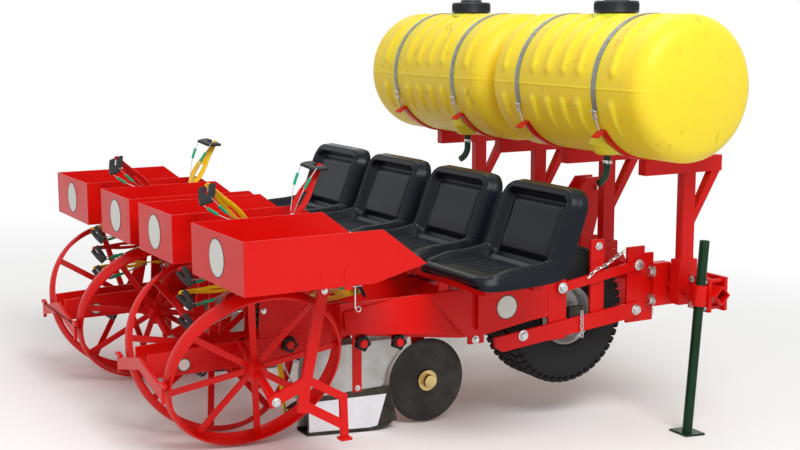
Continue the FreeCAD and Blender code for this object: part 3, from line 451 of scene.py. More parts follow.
def thickened(held, thickness, bevel):
    """A sheet object (m) given its thickness, evenly about its surface, and its edges rolled if asked."""
    thick = held.modifiers.new("thick", "SOLIDIFY")
    thick.thickness, thick.offset = thickness, 0.0
    if bevel:
        edge = held.modifiers.new("edge", "BEVEL")
        edge.width, edge.segments, edge.limit_method = bevel, 2, "ANGLE"
    return plain_mesh(held)


def smooth_line(points, steps):
    """Catmull-Rom line through points; steps gives the number of samples in each span."""
    spots = [Vector(p) for p in points]
    spots = [spots[0] * 2 - spots[1]] + spots + [spots[-1] * 2 - spots[-2]]
    out = []
    for i, count in enumerate(steps):
        a, b, c, d = spots[i:i + 4]
        for k in range(count):
            t = k / count
            out.append((b * 2 + (c - a) * t + (a * 2 - b * 5 + c * 4 - d) * t ** 2
                        + (b * 3 - a - c * 3 + d) * t ** 3) / 2)
    return out + [spots[-2]]


# ---- node trees for what repeats
def new_tree(name, **inputs):
    """Empty geometry tree with a geometry in and out, and named inputs."""
    tree = bpy.data.node_groups.new(name, "GeometryNodeTree")
    for label, kind in {"Geometry": "Geometry", **inputs}.items():
        tree.interface.new_socket(label, in_out="INPUT", socket_type="NodeSocket" + kind)
    tree.interface.new_socket("Geometry", in_out="OUTPUT", socket_type="NodeSocketGeometry")
    return tree, tree.nodes.new("NodeGroupInput").outputs


def close_tree(tree, instances, finish):
    """Realizes the instances, gives them their finish and sends them out."""
    real = add(tree, "GeometryNodeRealizeInstances", {"Geometry": instances})
    dressed = add(tree, "GeometryNodeSetMaterial", {"Geometry": real.outputs["Geometry"], "Material": finish})
    add(tree, "NodeGroupOutput", {"Geometry": dressed.outputs["Geometry"]})
    return tree


def spots_tree():
    """The part at every point, turned and sized by the point's own attributes."""
    tree, given = new_tree("at_spots", Part="Object", Finish="Material")
    part = add(tree, "GeometryNodeObjectInfo", {"Object": given["Part"]})
    turn = add(tree, "GeometryNodeInputNamedAttribute", {"Name": "turn"}, data_type="FLOAT_VECTOR")
    size = add(tree, "GeometryNodeInputNamedAttribute", {"Name": "size"}, data_type="FLOAT")
    cloud = add(tree, "GeometryNodeMeshToPoints", {"Mesh": given["Geometry"]})
    placed = add(tree, "GeometryNodeInstanceOnPoints", {
        "Points": cloud.outputs["Points"], "Instance": part.outputs["Geometry"],
        "Rotation": turn.outputs["Attribute"], "Scale": size.outputs["Attribute"]})
    return close_tree(tree, placed.outputs["Instances"], given["Finish"])


def ring_tree():
    """The part at even steps round a circle about Z, its own X pointing outwards."""
    tree, given = new_tree("round_a_ring", Part="Object", Count="Int", Radius="Float", Finish="Material")
    part = add(tree, "GeometryNodeObjectInfo", {"Object": given["Part"]})
    circle = add(tree, "GeometryNodeMeshCircle", {"Vertices": given["Count"], "Radius": given["Radius"]})
    index = add(tree, "GeometryNodeInputIndex")
    step = add(tree, "ShaderNodeMath", {0: CIRCLE, 1: given["Count"]}, operation="DIVIDE")
    turn = add(tree, "ShaderNodeMath", {0: index.outputs["Index"], 1: step.outputs["Value"]}, operation="MULTIPLY")
    about = add(tree, "ShaderNodeCombineXYZ", {"Z": turn.outputs["Value"]})
    placed = add(tree, "GeometryNodeInstanceOnPoints", {
        "Points": circle.outputs["Mesh"], "Instance": part.outputs["Geometry"], "Rotation": about.outputs["Vector"]})
    return close_tree(tree, placed.outputs["Instances"], given["Finish"])


def links_tree():
    """Outer and inner links in turn at even steps along a closed line in the XZ plane."""
    tree, given = new_tree("links_on_a_loop", Outer="Object", Inner="Object", Count="Int", Finish="Material")
    both = add(tree, "GeometryNodeGeometryToInstance")
    for name in ("Outer", "Inner"):
        link = add(tree, "GeometryNodeObjectInfo", {"Object": given[name]})
        tree.links.new(link.outputs["Geometry"], both.inputs["Geometry"])
    line = add(tree, "GeometryNodeMeshToCurve", {"Mesh": given["Geometry"]})
    even = add(tree, "GeometryNodeResampleCurve", {"Curve": line.outputs["Curve"], "Count": given["Count"]})
    index = add(tree, "GeometryNodeInputIndex")
    parity = add(tree, "ShaderNodeMath", {0: index.outputs["Index"], 1: 2.0}, operation="MODULO")
    along = add(tree, "GeometryNodeInputTangent")
    turn = add(tree, "FunctionNodeAlignEulerToVector", {"Vector": along.outputs["Tangent"]}, axis="X", pivot_axis="Y")
    placed = add(tree, "GeometryNodeInstanceOnPoints", {
        "Points": even.outputs["Curve"], "Instance": both.outputs["Instances"], "Pick Instance": True,
        "Instance Index": parity.outputs["Value"], "Rotation": turn.outputs["Rotation"]})
    return close_tree(tree, placed.outputs["Instances"], given["Finish"])


TREES = {}


def grown(tree, base, finish, inputs):
    """Runs a tree on a base mesh and gives the result as a plain mesh."""
    held, helpers = in_scene("base", base), []
    run = held.modifiers.new("nodes", "NODES")
    run.node_group = TREES[tree]
    inputs = {**inputs, "Finish": FINISHES[finish]}
    for item in run.node_group.interface.items_tree:
        if item.in_out == "INPUT" and item.name in inputs:
            value = inputs[item.name]
            if isinstance(value, bpy.types.Mesh):
                value = in_scene("template", value)
                helpers.append(value)
            run[item.identifier] = value
    held.update_tag()
    mesh = plain_mesh(held)
    for helper in helpers:
        bpy.data.objects.remove(helper)
    for name in ("turn", "size"):
        if name in mesh.attributes:
            mesh.attributes.remove(mesh.attributes[name])
    return mesh


def at_spots(template, places, finish):
    """A copy of a template (drawn in m) at every (matrix, size)."""
    base = mesh_of("spots", [place.translation for place, _ in places], [])
    base.attributes.new("turn", "FLOAT_VECTOR", "POINT")
    base.attributes.new("size", "FLOAT", "POINT")
    for i, (place, size) in enumerate(places):
        base.attributes["turn"].data[i].vector = place.to_euler()
        base.attributes["size"].data[i].value = size
    return grown("spots", base, finish, {"Part": template})


def round_ring(template, count, radius, finish, place):
    """A template (drawn in m, X outwards) round a ring, put in its place."""
    base = mesh_of("ring", [(0.0, 0.0, 0.0)], [])
    mesh = grown("ring", base, finish, {"Part": template, "Count": count, "Radius": radius * MM})
    mesh.transform(place @ TO_MM)
    return mesh


def spot_matrix(x, y, z, towards):
    """Place (m) of a small part whose own Z points the given way in the working frame (mm)."""
    turn = Vector(towards).to_track_quat("Z", "X").to_matrix()
    return Matrix.Translation(parked(x, y, z)) @ (PARKED_TURN @ turn).to_4x4()


def on_both_rows(spots):
    """Spots drawn for the right-hand row as (x, offset, z, towards, size), placed on both rows."""
    return [(spot_matrix(x, row * (ROW - offset), z, (a, -row * b, c)), size)
            for x, offset, z, (a, b, c), size in spots for row in ROWS]


# ---- tanks, their straps and lids
TANKS = ("right_tank", "left_tank")
STRAPS = (238.0, 712.0)           # Y of the straps, each side of the machine's middle
STRAP_EDGES = ((0.4, -12.5), (2.4, -12.5), (2.4, 12.5), (0.4, 12.5))      # (out from the tank, along it)
BAND_REAR = -146.0                # angle of the rear hook on a cradle band, from forward about the tank's axis
BAND_FRONT = -32.0
OUTLET_X, OUTLET_Y = -133.0, {"right_tank": -636.0, "left_tank": 314.0}      # X from the tank's middle
DOME_LEAN = math.radians(14.0)    # slope of the shallow end dome where its corner begins
UPPER_RIB = (7, 14, 72, 84)       # degrees above the mould seam where an upper rib rises and fades out
LOWER_RIB = (-46, -22, -13, -8)   # the same of a lower rib, which narrows towards its foot
BEAD = 0.55                       # half width of the mould seam's bead, in degrees
HOSE_X, HOSE_TOP, HOSE_FOOT = 215.0, 884, 822         # an outlet hose: where it hangs, and its straight part
HOSE_BEND, HOSE_R = 55.0, 13.0    # radius of its turn at the foot, and of the hose


def tank_frame(node):
    """(middle in m, radius, half length, and each strap's place along it, in mm) of a tank."""
    low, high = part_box(node)
    radius, half = (high.x - low.x) * M / 2, (high.y - low.y) * M / 2
    middle = Vector(((low.x + high.x) / 2, (low.y + high.y) / 2, low.z + radius * MM))
    return middle, radius, half, [math.copysign(strap, middle.y) - middle.y * M for strap in STRAPS]


def tank_rings(half, radius, corner):
    """(distance from the middle, radius) along a tank's wall: straight, rounded corner, shallow dome."""
    crown = (radius - corner * (1 - math.sin(DOME_LEAN))) / math.sin(DOME_LEAN)
    start = half - corner * math.cos(DOME_LEAN) - crown * (1 - math.cos(DOME_LEAN))
    turns = [(math.pi / 2 - DOME_LEAN) * i / 8 for i in range(1, 9)]
    rings = [(start + corner * math.sin(t), radius - corner * (1 - math.cos(t))) for t in turns]
    turns = [DOME_LEAN * (1 - i / 12) for i in range(1, 13)]
    return start, rings + [(half - crown * (1 - math.cos(t)), crown * math.sin(t)) for t in turns]


def tank_mesh(node, settings):
    """Rotomoulded shell: upper ribs between the straps, short ribs below a mould seam, and a collar at the neck."""
    middle, radius, half, straps = tank_frame(node)
    start, bend = tank_rings(half, radius, settings.corner)
    step = (straps[1] - straps[0]) / 5
    ribs = [straps[0] + step * k for k in (-1, 1, 2, 3, 4, 6)]
    wide = settings.rib_width / 2
    along = {-start, start, -start * 0.93, start * 0.93}
    along |= {rib + wide * k / 5 for rib in ribs for k in range(-5, 6)}
    along |= {strap + side for strap in straps for side in (-16, 0, 16)}
    rings = [(-t, r) for t, r in reversed(bend)] + [(t, radius) for t in sorted(along)] + bend
    turns = [math.radians(2.0 * i) for i in range(180)]
    turns += [seam + math.radians(d) for seam in (0.0, math.pi) for d in (-0.9, -0.45, 0.45, 0.9)]
    turns = sorted(t % CIRCLE for t in turns)

    def relief(t, turn):
        """Height of the mould seam and the ribs; an upper rib ends above the seam, a lower one below it."""
        degrees = math.degrees(turn)
        above = degrees if degrees <= 90 else 180 - degrees if degrees <= 270 else degrees - 360
        best = 0.0
        for rib in ribs:
            across = abs(t - rib) / wide
            if across < 1:
                best = max(best, ramp(1 - across, 0.0, 0.62) * swell(above, *UPPER_RIB))
            narrow = abs(t - rib) / (wide * (0.55 + 0.45 * ramp(above, -42, -10)))
            if narrow < 1:
                best = max(best, ramp(1 - narrow, 0.0, 0.7) * swell(above, *LOWER_RIB))
        return settings.seam * bell(above, BEAD) + settings.rib_height * best

    points, rows = [], []
    for t, r in rings:
        fade = 1.0 if abs(t) <= start else ramp(r, radius * 0.3, radius * 0.9)
        ring = [(r + relief(t, turn) * fade, turn) for turn in turns] if r > POLE else [(0.0, 0.0)]
        rows.append([len(points) + i for i in range(len(ring))])
        points += [(out * math.cos(turn), t, out * math.sin(turn)) for out, turn in ring]
    collar = [(62, -12), (90, -12), (86, -3), (76, 1), (71, 4), (71, 12), (73, 13.5), (71, 15), (71, 21), (73, 22.5),
              (71, 24), (71, 31), (69, 33), (64, 33), (62, 31)]
    neck = turned([(r, radius + z) for r, z in collar], 72, ring=True)
    boss = turned([(0, -22), (34, -22), (42, -19), (50, -8), (58, 6), (67, 18), (60, 44), (0, 44)], 48)
    under = -math.sqrt(radius ** 2 - OUTLET_X ** 2)
    sump = moved(boss, at(OUTLET_X, OUTLET_Y[node] - middle.y * M, under))
    return joined(node + "_shell", [(points, skin(rows, len(turns))), neck, sump], parked_at(middle), 50.0)


def round_tank(angle, out, y):
    """Point at an angle (degrees, 0 forward) about a tank's axis."""
    return out * math.cos(math.radians(angle)), y, out * math.sin(math.radians(angle))


def on_each_strap(draw):
    """Parts that draw(radius, y) gives for each of the four straps, put in their places."""
    parts = []
    for node in TANKS:
        middle, radius, _, straps = tank_frame(node)
        for y in straps:
            parts += [moved(part, parked_at(middle)) for part in draw(radius, y)]
    return parts


def strap_part(radius, y, steps=110):
    """Flat strap over a tank, from the front hook down to the shackle at the rear."""
    sweep = 360.0 + BAND_REAR - 16.0 - BAND_FRONT
    points = [round_tank(BAND_FRONT + sweep * i / steps, radius + out, y + side)
              for i in range(steps + 1) for out, side in STRAP_EDGES]
    faces = [(4 * i + k, 4 * i + (k + 1) % 4, 4 * i + (k + 1) % 4 + 4, 4 * i + k + 4)
             for i in range(steps) for k in range(4)]
    return [(points, faces + [(3, 2, 1, 0), tuple(steps * 4 + k for k in range(4))])]


def shackle_parts(radius, y):
    """At the rear end of a strap: a shackle and ring, and the threaded rod with its nut under the hook."""
    pin = BAND_REAR - 11
    yoke = [round_tank(pin, radius + 10, y + 9)]
    yoke += [round_tank(BAND_REAR - 15.0 - 2.2 * math.sin(math.pi * k / 8), radius + 9,
                        y + 9 * math.cos(math.pi * k / 8)) for k in range(9)]
    yoke.append(round_tank(pin, radius + 10, y - 9))
    rod = [round_tank(BAND_REAR + 3.5 - 3 * i, radius + 15 - i, y) for i in range(7)]
    nut = turned([(0, -7), (9, -7), (10.4, -5.8), (10.4, 0), (9, 1.2), (0, 1.2)], 6)
    lie = Matrix.Rotation(-math.radians(BAND_REAR + 2.0), 3, "Y")
    return [swept(rod, 3.6, 8), swept(yoke, 2.6, 8),
            swept([round_tank(pin, radius + 10, y + side) for side in (14, -14)], 3.4, 8),
            swept([round_tank(BAND_REAR - 16.4, radius + 7, y + side) for side in (16, -16)], 4.2, 8),
            moved(nut, at(*round_tank(BAND_REAR + 2.0, radius + 15.5, y), lie))]


def hose_mesh():
    """Short rubber elbows from the tanks' outlets, turned back at the foot."""
    parts = []
    for y in OUTLET_Y.values():
        path = [(HOSE_X, y, z) for z in (HOSE_TOP, 850, HOSE_FOOT)]
        path += [(HOSE_X - HOSE_BEND * (1 - math.cos(turn)), y, HOSE_FOOT - 1 - HOSE_BEND * math.sin(turn))
                 for turn in (math.radians(7 * i) for i in range(1, 11))]
        parts.append(swept(path, HOSE_R, 20))
    return joined("hoses", parts, parked_matrix())


def lid_mesh(node):
    """Screw lid: a deep skirt with grip ribs, a rolled rim and a raised boss."""
    low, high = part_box(node)
    across = high.y - low.y
    radius = across * M / 2
    deep = ((high.z - low.z) - across * abs(math.sin(PITCH))) * M / math.cos(PITCH)
    skirt = deep - 12.0
    place = parked_at((low + high) / 2) @ Matrix.Translation((0, 0, -deep / 2))
    profile = [(0, deep), (38, deep), (44, deep - 2), (47, skirt + 1), (54, skirt - 1), (66, skirt - 1),
               (70, skirt + 0.5), (76, skirt), (radius - 2.5, skirt - 3), (radius - 1.5, skirt - 7),
               (radius - 1.5, 9), (radius, 7), (radius, 1.5), (radius - 1.5, 0), (radius - 8, 0),
               (radius - 8, skirt - 10), (0, skirt - 10)]
    cap = joined("cap", [turned(profile, 96)], place)
    rib = joined("rib", [slab([(-1.4, -1.6), (1.2, -1.0), (1.2, 1.0), (-1.4, 1.6)], 10, skirt - 9)], TO_M)
    return together(cap, round_ring(rib, 64, radius - 1.4, "polypropylene", place))


# ---- seats
SEAT_LINE = ((-551, 518), (-546, 526), (-530, 531), (-500, 529), (-400, 529), (-262, 537), (-234, 550), (-222, 572),
             (-182, 686), (-150, 777), (-143, 797), (-140, 806))     # X and Z down the middle of the skin
SEAT_STEPS = (3, 4, 6, 14, 30, 14, 12, 28, 20, 5, 3)                 # samples in each of its spans
PAN_CORNER, BACK_CORNER = 85.0, 75.0                                 # rounding of the pan's and the back's corners
HEM = 11.0                                                           # how far the skin's edge hangs down
FOLD_STEP, FLUTE_STEP = 17.0, 44.0                                   # from one fold, or one flute, to the next


def seat_mesh(middle, settings):
    """Bucket seat: one foam-backed skin with a rolled double rim, a back cushion, and folds where it bends."""
    line = smooth_line([(x, 0.0, z) for x, z in SEAT_LINE], SEAT_STEPS)
    length = [0.0]
    for one, two in zip(line, line[1:]):
        length.append(length[-1] + (two - one).length)
    total, half = length[-1], settings.width * M / 2
    bend = length[sum(SEAT_STEPS[:5]) + 7]
    across, last = 64, len(line) - 1

    def height(s, y):
        """Height of the skin at a length along it and a distance across."""
        corner = PAN_CORNER if s < total / 2 else BACK_CORNER
        qx, qy = abs(s - total / 2) - (total / 2 - corner), abs(y) - (half - corner)
        deep = corner - math.hypot(max(qx, 0), max(qy, 0)) - min(max(qx, qy), 0.0)
        side = ramp(s, 30, 150) * (1 - 0.25 * ramp(s, total - 130, total - 20))
        rim = 14.0 + (settings.rim * M - 14.0) * side + 8.0 * bell(s - bend, 60.0)
        roll = -HEM + (rim + HEM) * ramp(deep, -4, 20) - 6.5 * bell(deep - 24, 4.4) - rim * ramp(deep, 34, 60)
        fold = 2.8 * math.sin((s - bend) * CIRCLE / FOLD_STEP) * bell(s - bend, 36.0, 4) * swell(deep, -2, 8, 16, 44)
        cushion = ramp(min(deep - 58.0, s - bend - 8.0), -4, 30)
        back = 15.0 * cushion * (1 + 0.35 * bell(s - bend - 60, 60.0))
        inner = min(deep - 58.0, bend - 26.0 - s)
        lip = 13.0 * bell(bend - 26.0 - s, 15.0) * ramp(deep, 44, 74)
        pan = 6.0 * ramp(inner, 0, 60)
        flute = 1.3 * math.cos(y * CIRCLE / FLUTE_STEP) * ramp(inner, 20, 60) * ramp(s, 60, 120)
        return roll + fold + back + lip + pan - flute

    points, rows = [], []
    for layer in (0, 1):
        rows.append([])
        for i, (spot, s) in enumerate(zip(line, length)):
            ahead = (line[min(i + 1, last)] - line[max(i - 1, 0)]).normalized()
            up = Vector((-ahead.z, 0.0, ahead.x))
            corner = PAN_CORNER if s < total / 2 else BACK_CORNER
            wide = half - (corner - math.sqrt(max(corner ** 2 - max(corner - min(s, total - s), 0.0) ** 2, 0.0)))
            rows[layer].append([len(points) + k for k in range(across + 1)])
            for k in range(across + 1):
                part = 2 * k / across - 1
                part = math.sin(part * math.pi / 2) * 0.45 + part * 0.55
                y = wide * part
                lift = height(s, y) if layer == 0 else -settings.thick * M + 9.0 * math.cos(part * math.pi / 2)
                point = spot + up * lift
                points.append((point.x, y, point.z))
    top, under = rows
    faces = []
    for i in range(last):
        for k in range(across):
            faces.append((top[i][k], top[i][k + 1], top[i + 1][k + 1], top[i + 1][k]))
            faces.append((under[i][k], under[i + 1][k], under[i + 1][k + 1], under[i][k + 1]))
    edge = [(0, k) for k in range(across)] + [(i, across) for i in range(last)]
    edge += [(last, k) for k in range(across, 0, -1)] + [(i, 0) for i in range(last, 0, -1)]
    faces += [(top[i][k], under[i][k], under[j][m], top[j][m]) for (i, k), (j, m) in zip(edge, edge[1:] + edge[:1])]
    return joined("seat", [(points, faces)], parked_matrix((0, middle, 0)), 60.0)


# ---- planting chains with their arms
CHAIN_X, CHAIN_LOW, CHAIN_HIGH, CHAIN_R = -1040.0, 365.0, 604.0, 57.0
CHAIN_LONG = 2 * (CHAIN_HIGH - CHAIN_LOW) + 2 * math.pi * CHAIN_R
CHAIN_FACE = 8.0                  # from the chain's line to the face the arms stand on
ARM_FOOT = CHAIN_R + CHAIN_FACE   # arm foot from a sprocket's centre
ARM_LONG = 332.0 - ARM_FOOT
ARMS, ARM_FIRST = 11, 56.8        # arms on each chain, and the first one's place along it
LINKS, LINK_PITCH = 32, 26.13
WAIST = 66.0                      # where the wires are clamped, from the arm's foot
SLOT_HALF = 6.5                   # half the width of the slot in an arm's leaf
KNOBS = ((-794, 294, 173.0), (-656, 282, 173.0), (-1023, 300, 88.0))      # X, Z and offset from the row's middle


def on_chain(s):
    """Point of the chain loop at a length along it, and the direction outwards as an angle in XZ."""
    straight, half = CHAIN_HIGH - CHAIN_LOW, math.pi * CHAIN_R
    s %= 2 * straight + 2 * half
    if s < straight:
        return CHAIN_X - CHAIN_R, CHAIN_LOW + s, math.pi
    s -= straight
    if s < half:
        turn = math.pi - s / CHAIN_R
        return CHAIN_X + CHAIN_R * math.cos(turn), CHAIN_HIGH + CHAIN_R * math.sin(turn), turn
    s -= half
    if s < straight:
        return CHAIN_X + CHAIN_R, CHAIN_HIGH - s, 0.0
    turn = -(s - straight) / CHAIN_R
    return CHAIN_X + CHAIN_R * math.cos(turn), CHAIN_LOW + CHAIN_R * math.sin(turn), turn


def arm_places(which=None):
    """Place (m) of every arm, or of one colour's arms; the colours swap over between the rows."""
    out = []
    for row in ROWS:
        for i in range(ARMS):
            if which is None or (i % 2 == which) == (row < 0):
                x, z, turn = on_chain(CHAIN_LONG * i / ARMS + ARM_FIRST)
                spot = parked(x + CHAIN_FACE * math.cos(turn), row * ROW, z + CHAIN_FACE * math.sin(turn))
                lie = PARKED_TURN @ Matrix.Rotation(-turn, 3, "Y")
                out.append((Matrix.Translation(spot) @ lie.to_4x4(), 1.0))
    return out


def twisted(point, roll):
    """Turns a point (mm) about the arm's line, more and more from its foot to its blade."""
    x, y, z = point
    turn = math.radians(roll) * ramp(x, 18, 92)
    return x, y * math.cos(turn) - z * math.sin(turn), y * math.sin(turn) + z * math.cos(turn)


def arm_template(settings):
    """Leaf-shaped sheet arm with a long slot, a raised rib each side of it, and a foot on the chain."""
    half, count = settings.blade * M / 2, 8
    outline = [(16, 10), (45, 12), (75, 17), (110, half), (150, half * 0.98), (190, half * 0.72), (225, half * 0.5),
               (ARM_LONG - 4, half * 0.36), (ARM_LONG, half * 0.3)]
    line = smooth_line([(x, y, 0.0) for x, y in outline], (4, 4, 5, 6, 6, 6, 5, 1))
    points, faces = [], []
    for side in (1, -1):
        for p in line:
            slot = SLOT_HALF * swell(p.x, 96, 104, 156, 164)
            for k in range(count + 1):
                lift = 3.0 * math.sin(math.pi * k / count) * swell(p.x, 60, 100, 190, 230)
                points.append((p.x, side * (slot + (p.y - slot) * k / count), lift))
    rows = len(line)
    for side in (0, 1):
        for i in range(rows - 1):
            for k in range(count):
                a = side * rows * (count + 1) + i * (count + 1) + k
                faces.append((a, a + count + 1, a + count + 2, a + 1))
    sheet = mesh_of("arm", [Vector(twisted(p, settings.roll)) * MM for p in points], faces)
    blade = thickened(in_scene("arm", shaded(merged(sheet))), settings.sheet, None)
    foot = [block(-7.5, 24, -12, 12, -2.5, 2.5)] + [moved(post(4.5, 0, 3.5, 6), at(10, y, 2.5)) for y in (5, -5)]
    return together(blade, joined("foot", foot, TO_M))


def tip_frame(settings):
    """Where the pad hangs on the arm, in the arm's own frame (mm): its X across, its Y up the pad."""
    roll, hang = math.radians(settings.roll * 0.6), math.radians(28)
    across = Vector((0.0, math.cos(roll), math.sin(roll)))
    down = Vector((-math.sin(hang), 0.0, math.cos(hang)))
    down = (down - across * down.dot(across)).normalized()
    turn = Matrix((across, -down, across.cross(-down))).transposed()
    return Matrix.Translation((ARM_LONG - 8.0, 0.0, 4.0)) @ turn.to_4x4()


def pad_template(settings):
    """Square rubber pad with clipped lower corners and a U notch in its top edge."""
    wide, deep, notch = settings.pad * M / 2, settings.pad_deep * M, 12.0
    turns = [math.radians(20 * i) for i in range(10)]
    outline = [(-wide, 0), (-wide + 3, 4), (-notch - 2, 4), (-notch, 1)]
    outline += [(-notch * math.cos(turn), -16 - notch * math.sin(turn)) for turn in turns]
    outline += [(notch, 1), (notch + 2, 4), (wide - 3, 4), (wide, 0), (wide * 0.98, -deep * 0.5),
                (wide * 0.7, -deep), (-wide * 0.7, -deep), (-wide * 0.98, -deep * 0.5)]
    mesh = flat_shape("pad", outline, 9.0, 2.0)
    mesh.transform(TO_M @ tip_frame(settings) @ TO_MM)
    return mesh


def wire_paths(settings):
    """The two spring wires of an arm, from its waist to the pad's lower corners."""
    paths = []
    for side in SIDES:
        low_corner = Vector((side * settings.pad * M / 2 * 0.82, -settings.pad_deep * M * 0.78, -5.0))
        corner = tip_frame(settings) @ low_corner
        start = Vector((WAIST, side * 9.0, 4.0))
        middle = start.lerp(corner, 0.55) + Vector((0.0, side * 5.0, 9.0))
        paths.append(smooth_line([start, middle, corner], (6, 6)))
    return paths


def wire_template(settings):
    """Wires, their clamp at the waist, and the clip that holds the pad to the arm."""
    hang = tip_frame(settings)
    parts = [swept(path, 1.6, 6) for path in wire_paths(settings)]
    parts += [moved(block(-9, 9, -15, 15, 2.6, 7.0), at(WAIST, 0, 0)), moved(block(-9, 9, -17, 3, 4.6, 6.6), hang),
              moved(post(3.2, 0, 3, 6), hang @ at(0, -8, 6.4))]
    return joined("wires", parts, TO_M)


def sleeve_template(settings):
    """Soft tubes on the wires."""
    parts = [swept([path[6], path[7].lerp(path[8], 0.4), path[9]], 5.2, 10) for path in wire_paths(settings)]
    return joined("sleeves", parts, TO_M)


def link_template(name, plate_y, deep, pin_radius, pin_reach, sides):
    """Two side plates of a chain link, round at both ends, and its pins or rollers, about the link's middle."""
    reach = LINK_PITCH / 2
    outline = [(end * reach + deep * math.cos(turn), deep * math.sin(turn)) for end in (1, -1)
               for turn in (math.radians(-90 * end + 30 * i) for i in range(7))]
    parts = [moved(slab(outline, -1.2, 1.2), at(0, y, 0, LYING)) for y in (-plate_y, plate_y)]
    parts += [moved(post(pin_radius, -pin_reach, pin_reach, sides), at(x, 0, 0, LYING)) for x in (-reach, reach)]
    return joined(name, parts, TO_M)


def chain_mesh(row):
    """Roller chain of a row: outer and inner links in turn along its loop."""
    steps = LINKS * 6
    spots = [on_chain(CHAIN_LONG * i / steps) for i in range(steps)]
    base = mesh_of("loop", [(x * MM, 0.0, z * MM) for x, z, _ in spots], [],
                   [(i, (i + 1) % steps) for i in range(steps)])
    mesh = grown("links", base, "oiled steel", {
        "Outer": link_template("outer", 9.6, 7.2, 3.9, 12.6, 8),
        "Inner": link_template("inner", 7.0, 7.0, 7.6, 5.8, 12), "Count": LINKS})
    mesh.transform(parked_matrix((0, row * ROW, 0)) @ TO_MM)
    return mesh


def sprocket_part(x, z, y):
    """Toothed ring of fourteen teeth, in XZ about its shaft."""
    teeth = 14
    tooth = ((-0.5, 49.0), (-0.22, 50.5), (-0.1, 60.0), (0.1, 60.0), (0.22, 50.5))      # (turn in teeth, radius)
    spots = [(CIRCLE * (i + 0.5 + step) / teeth, radius) for i in range(teeth) for step, radius in tooth]
    outline = [(radius * math.cos(turn), radius * math.sin(turn)) for turn, radius in spots]
    return moved(slab(outline, -4.5, 4.5), at(x, y, z, LYING))


def knob_parts(x, z, y, side):
    """Lobed tensioner knob: five lobes, and a round boss through its face."""
    lobes = [(24.5 + 3.5 * math.cos(5 * turn + 0.6), turn) for turn in round_steps(40)]
    body = slab([(radius * math.cos(turn), radius * math.sin(turn)) for radius, turn in lobes], -21, -2)
    cap = turned([(0, -21), (14, -21), (14, 2), (12, 4), (0, 4)], 20)
    lie = Matrix.Rotation(math.radians(90 * side), 3, "X")
    return [moved(part, at(x, y, z, lie)) for part in (body, cap)]


# ---- tyres, rims, hubs and bolts
def wheel_frame(node):
    """(place with its axle along Z, radius and half width in mm) of a drive wheel's tyre."""
    low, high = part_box(node)
    place = parked_at((low + high) / 2) @ LYING.to_4x4()
    return place, (high.z - low.z) * M / 2, (high.y - low.y) * M / 2


def tyre_mesh(node, settings):
    """Implement tyre: rounded carcass with sidewall ribs, under rows of tread lugs that close at the shoulders."""
    place, radius, half = wheel_frame(node)
    top = settings.tread * M
    base = radius - top
    wall = [(103, half - 17), (110, half - 12), (116, half - 9), (119, half - 9), (122, half - 5), (132, half - 3),
            (138, half - 3.5), (140, half - 1.6), (143, half - 1.6), (145, half - 3), (165, half - 0.5),
            (185, half - 0.5), (205, half - 2.5), (base - 17, half - 9), (base - 7, half - 19), (base - 2, half - 34),
            (base, half * 0.45), (base + 0.5, half * 0.25)]
    profile = wall + [(r, -y) for r, y in reversed(wall)] + [(101, -half + 24), (101, half - 24)]
    meshes = [joined("carcass", [turned(profile, 128, ring=True)], place, 30.0)]
    lug_round = CIRCLE * base / settings.lugs
    # each row's offset across the tyre, its lugs' skew, width and length, and its turn in lugs
    for offset, skew, wide, long, turn in ((0.0, 0.0, 0.18, 0.72, 0.0), (0.33, 0.12, 0.2, 0.7, 0.5),
                                           (-0.33, -0.12, 0.2, 0.7, 0.5)):
        a, b, s = half * 2 * wide / 2, lug_round * long / 2, half * skew
        lug = lug_part([(-a, -b), (a, -b + s), (a, b + s), (-a, b)], base - 4, base + top - 0.4, 2.2)
        meshes.append(ring_of(moved(lug, at(0, 0, half * offset * 2)), settings.lugs, turn / settings.lugs, place))
    for side in SIDES:
        b = lug_round * 0.34
        lug = lug_part([(-9, -b), (12, -b * 0.8), (12, b * 0.8), (-9, b)], -6, 6, 2.0)
        slope = Matrix.Rotation(math.radians(-side * 52), 3, "Y")
        lug = moved(lug, at(base - 12, 0, side * (half - 16), slope))
        meshes.append(ring_of(lug, settings.lugs, 0.0, place))
    return together(*meshes)


def lug_part(outline, low, high, taper):
    """Tread block: outline in (axial, round) mm, tapered from its foot to its face along X, with a rolled top edge."""
    count = len(outline)
    middle = Vector((sum(p[0] for p in outline) / count, sum(p[1] for p in outline) / count))
    points = []
    for x, grow in ((low, 1 + taper / 14), (high - 1.5, (1 - taper / 14) * 1.04), (high, (1 - taper / 14) * 0.92)):
        points += [(x, p.y, p.x) for p in (middle + (Vector(corner) - middle) * grow for corner in outline)]
    faces = [tuple(reversed(range(count))), tuple(range(2 * count, 3 * count))]
    faces += [(layer + i, layer + (i + 1) % count, layer + count + (i + 1) % count, layer + count + i)
              for layer in (0, count) for i in range(count)]
    return points, faces


def ring_of(part, count, offset, place):
    """A part drawn in mm at its own radius, repeated round the axis."""
    mesh = joined("part", [moved(part, Matrix.Rotation(CIRCLE * offset, 4, "Z"))], TO_M)
    return round_ring(mesh, count, 0.0001, "tyre rubber", place)


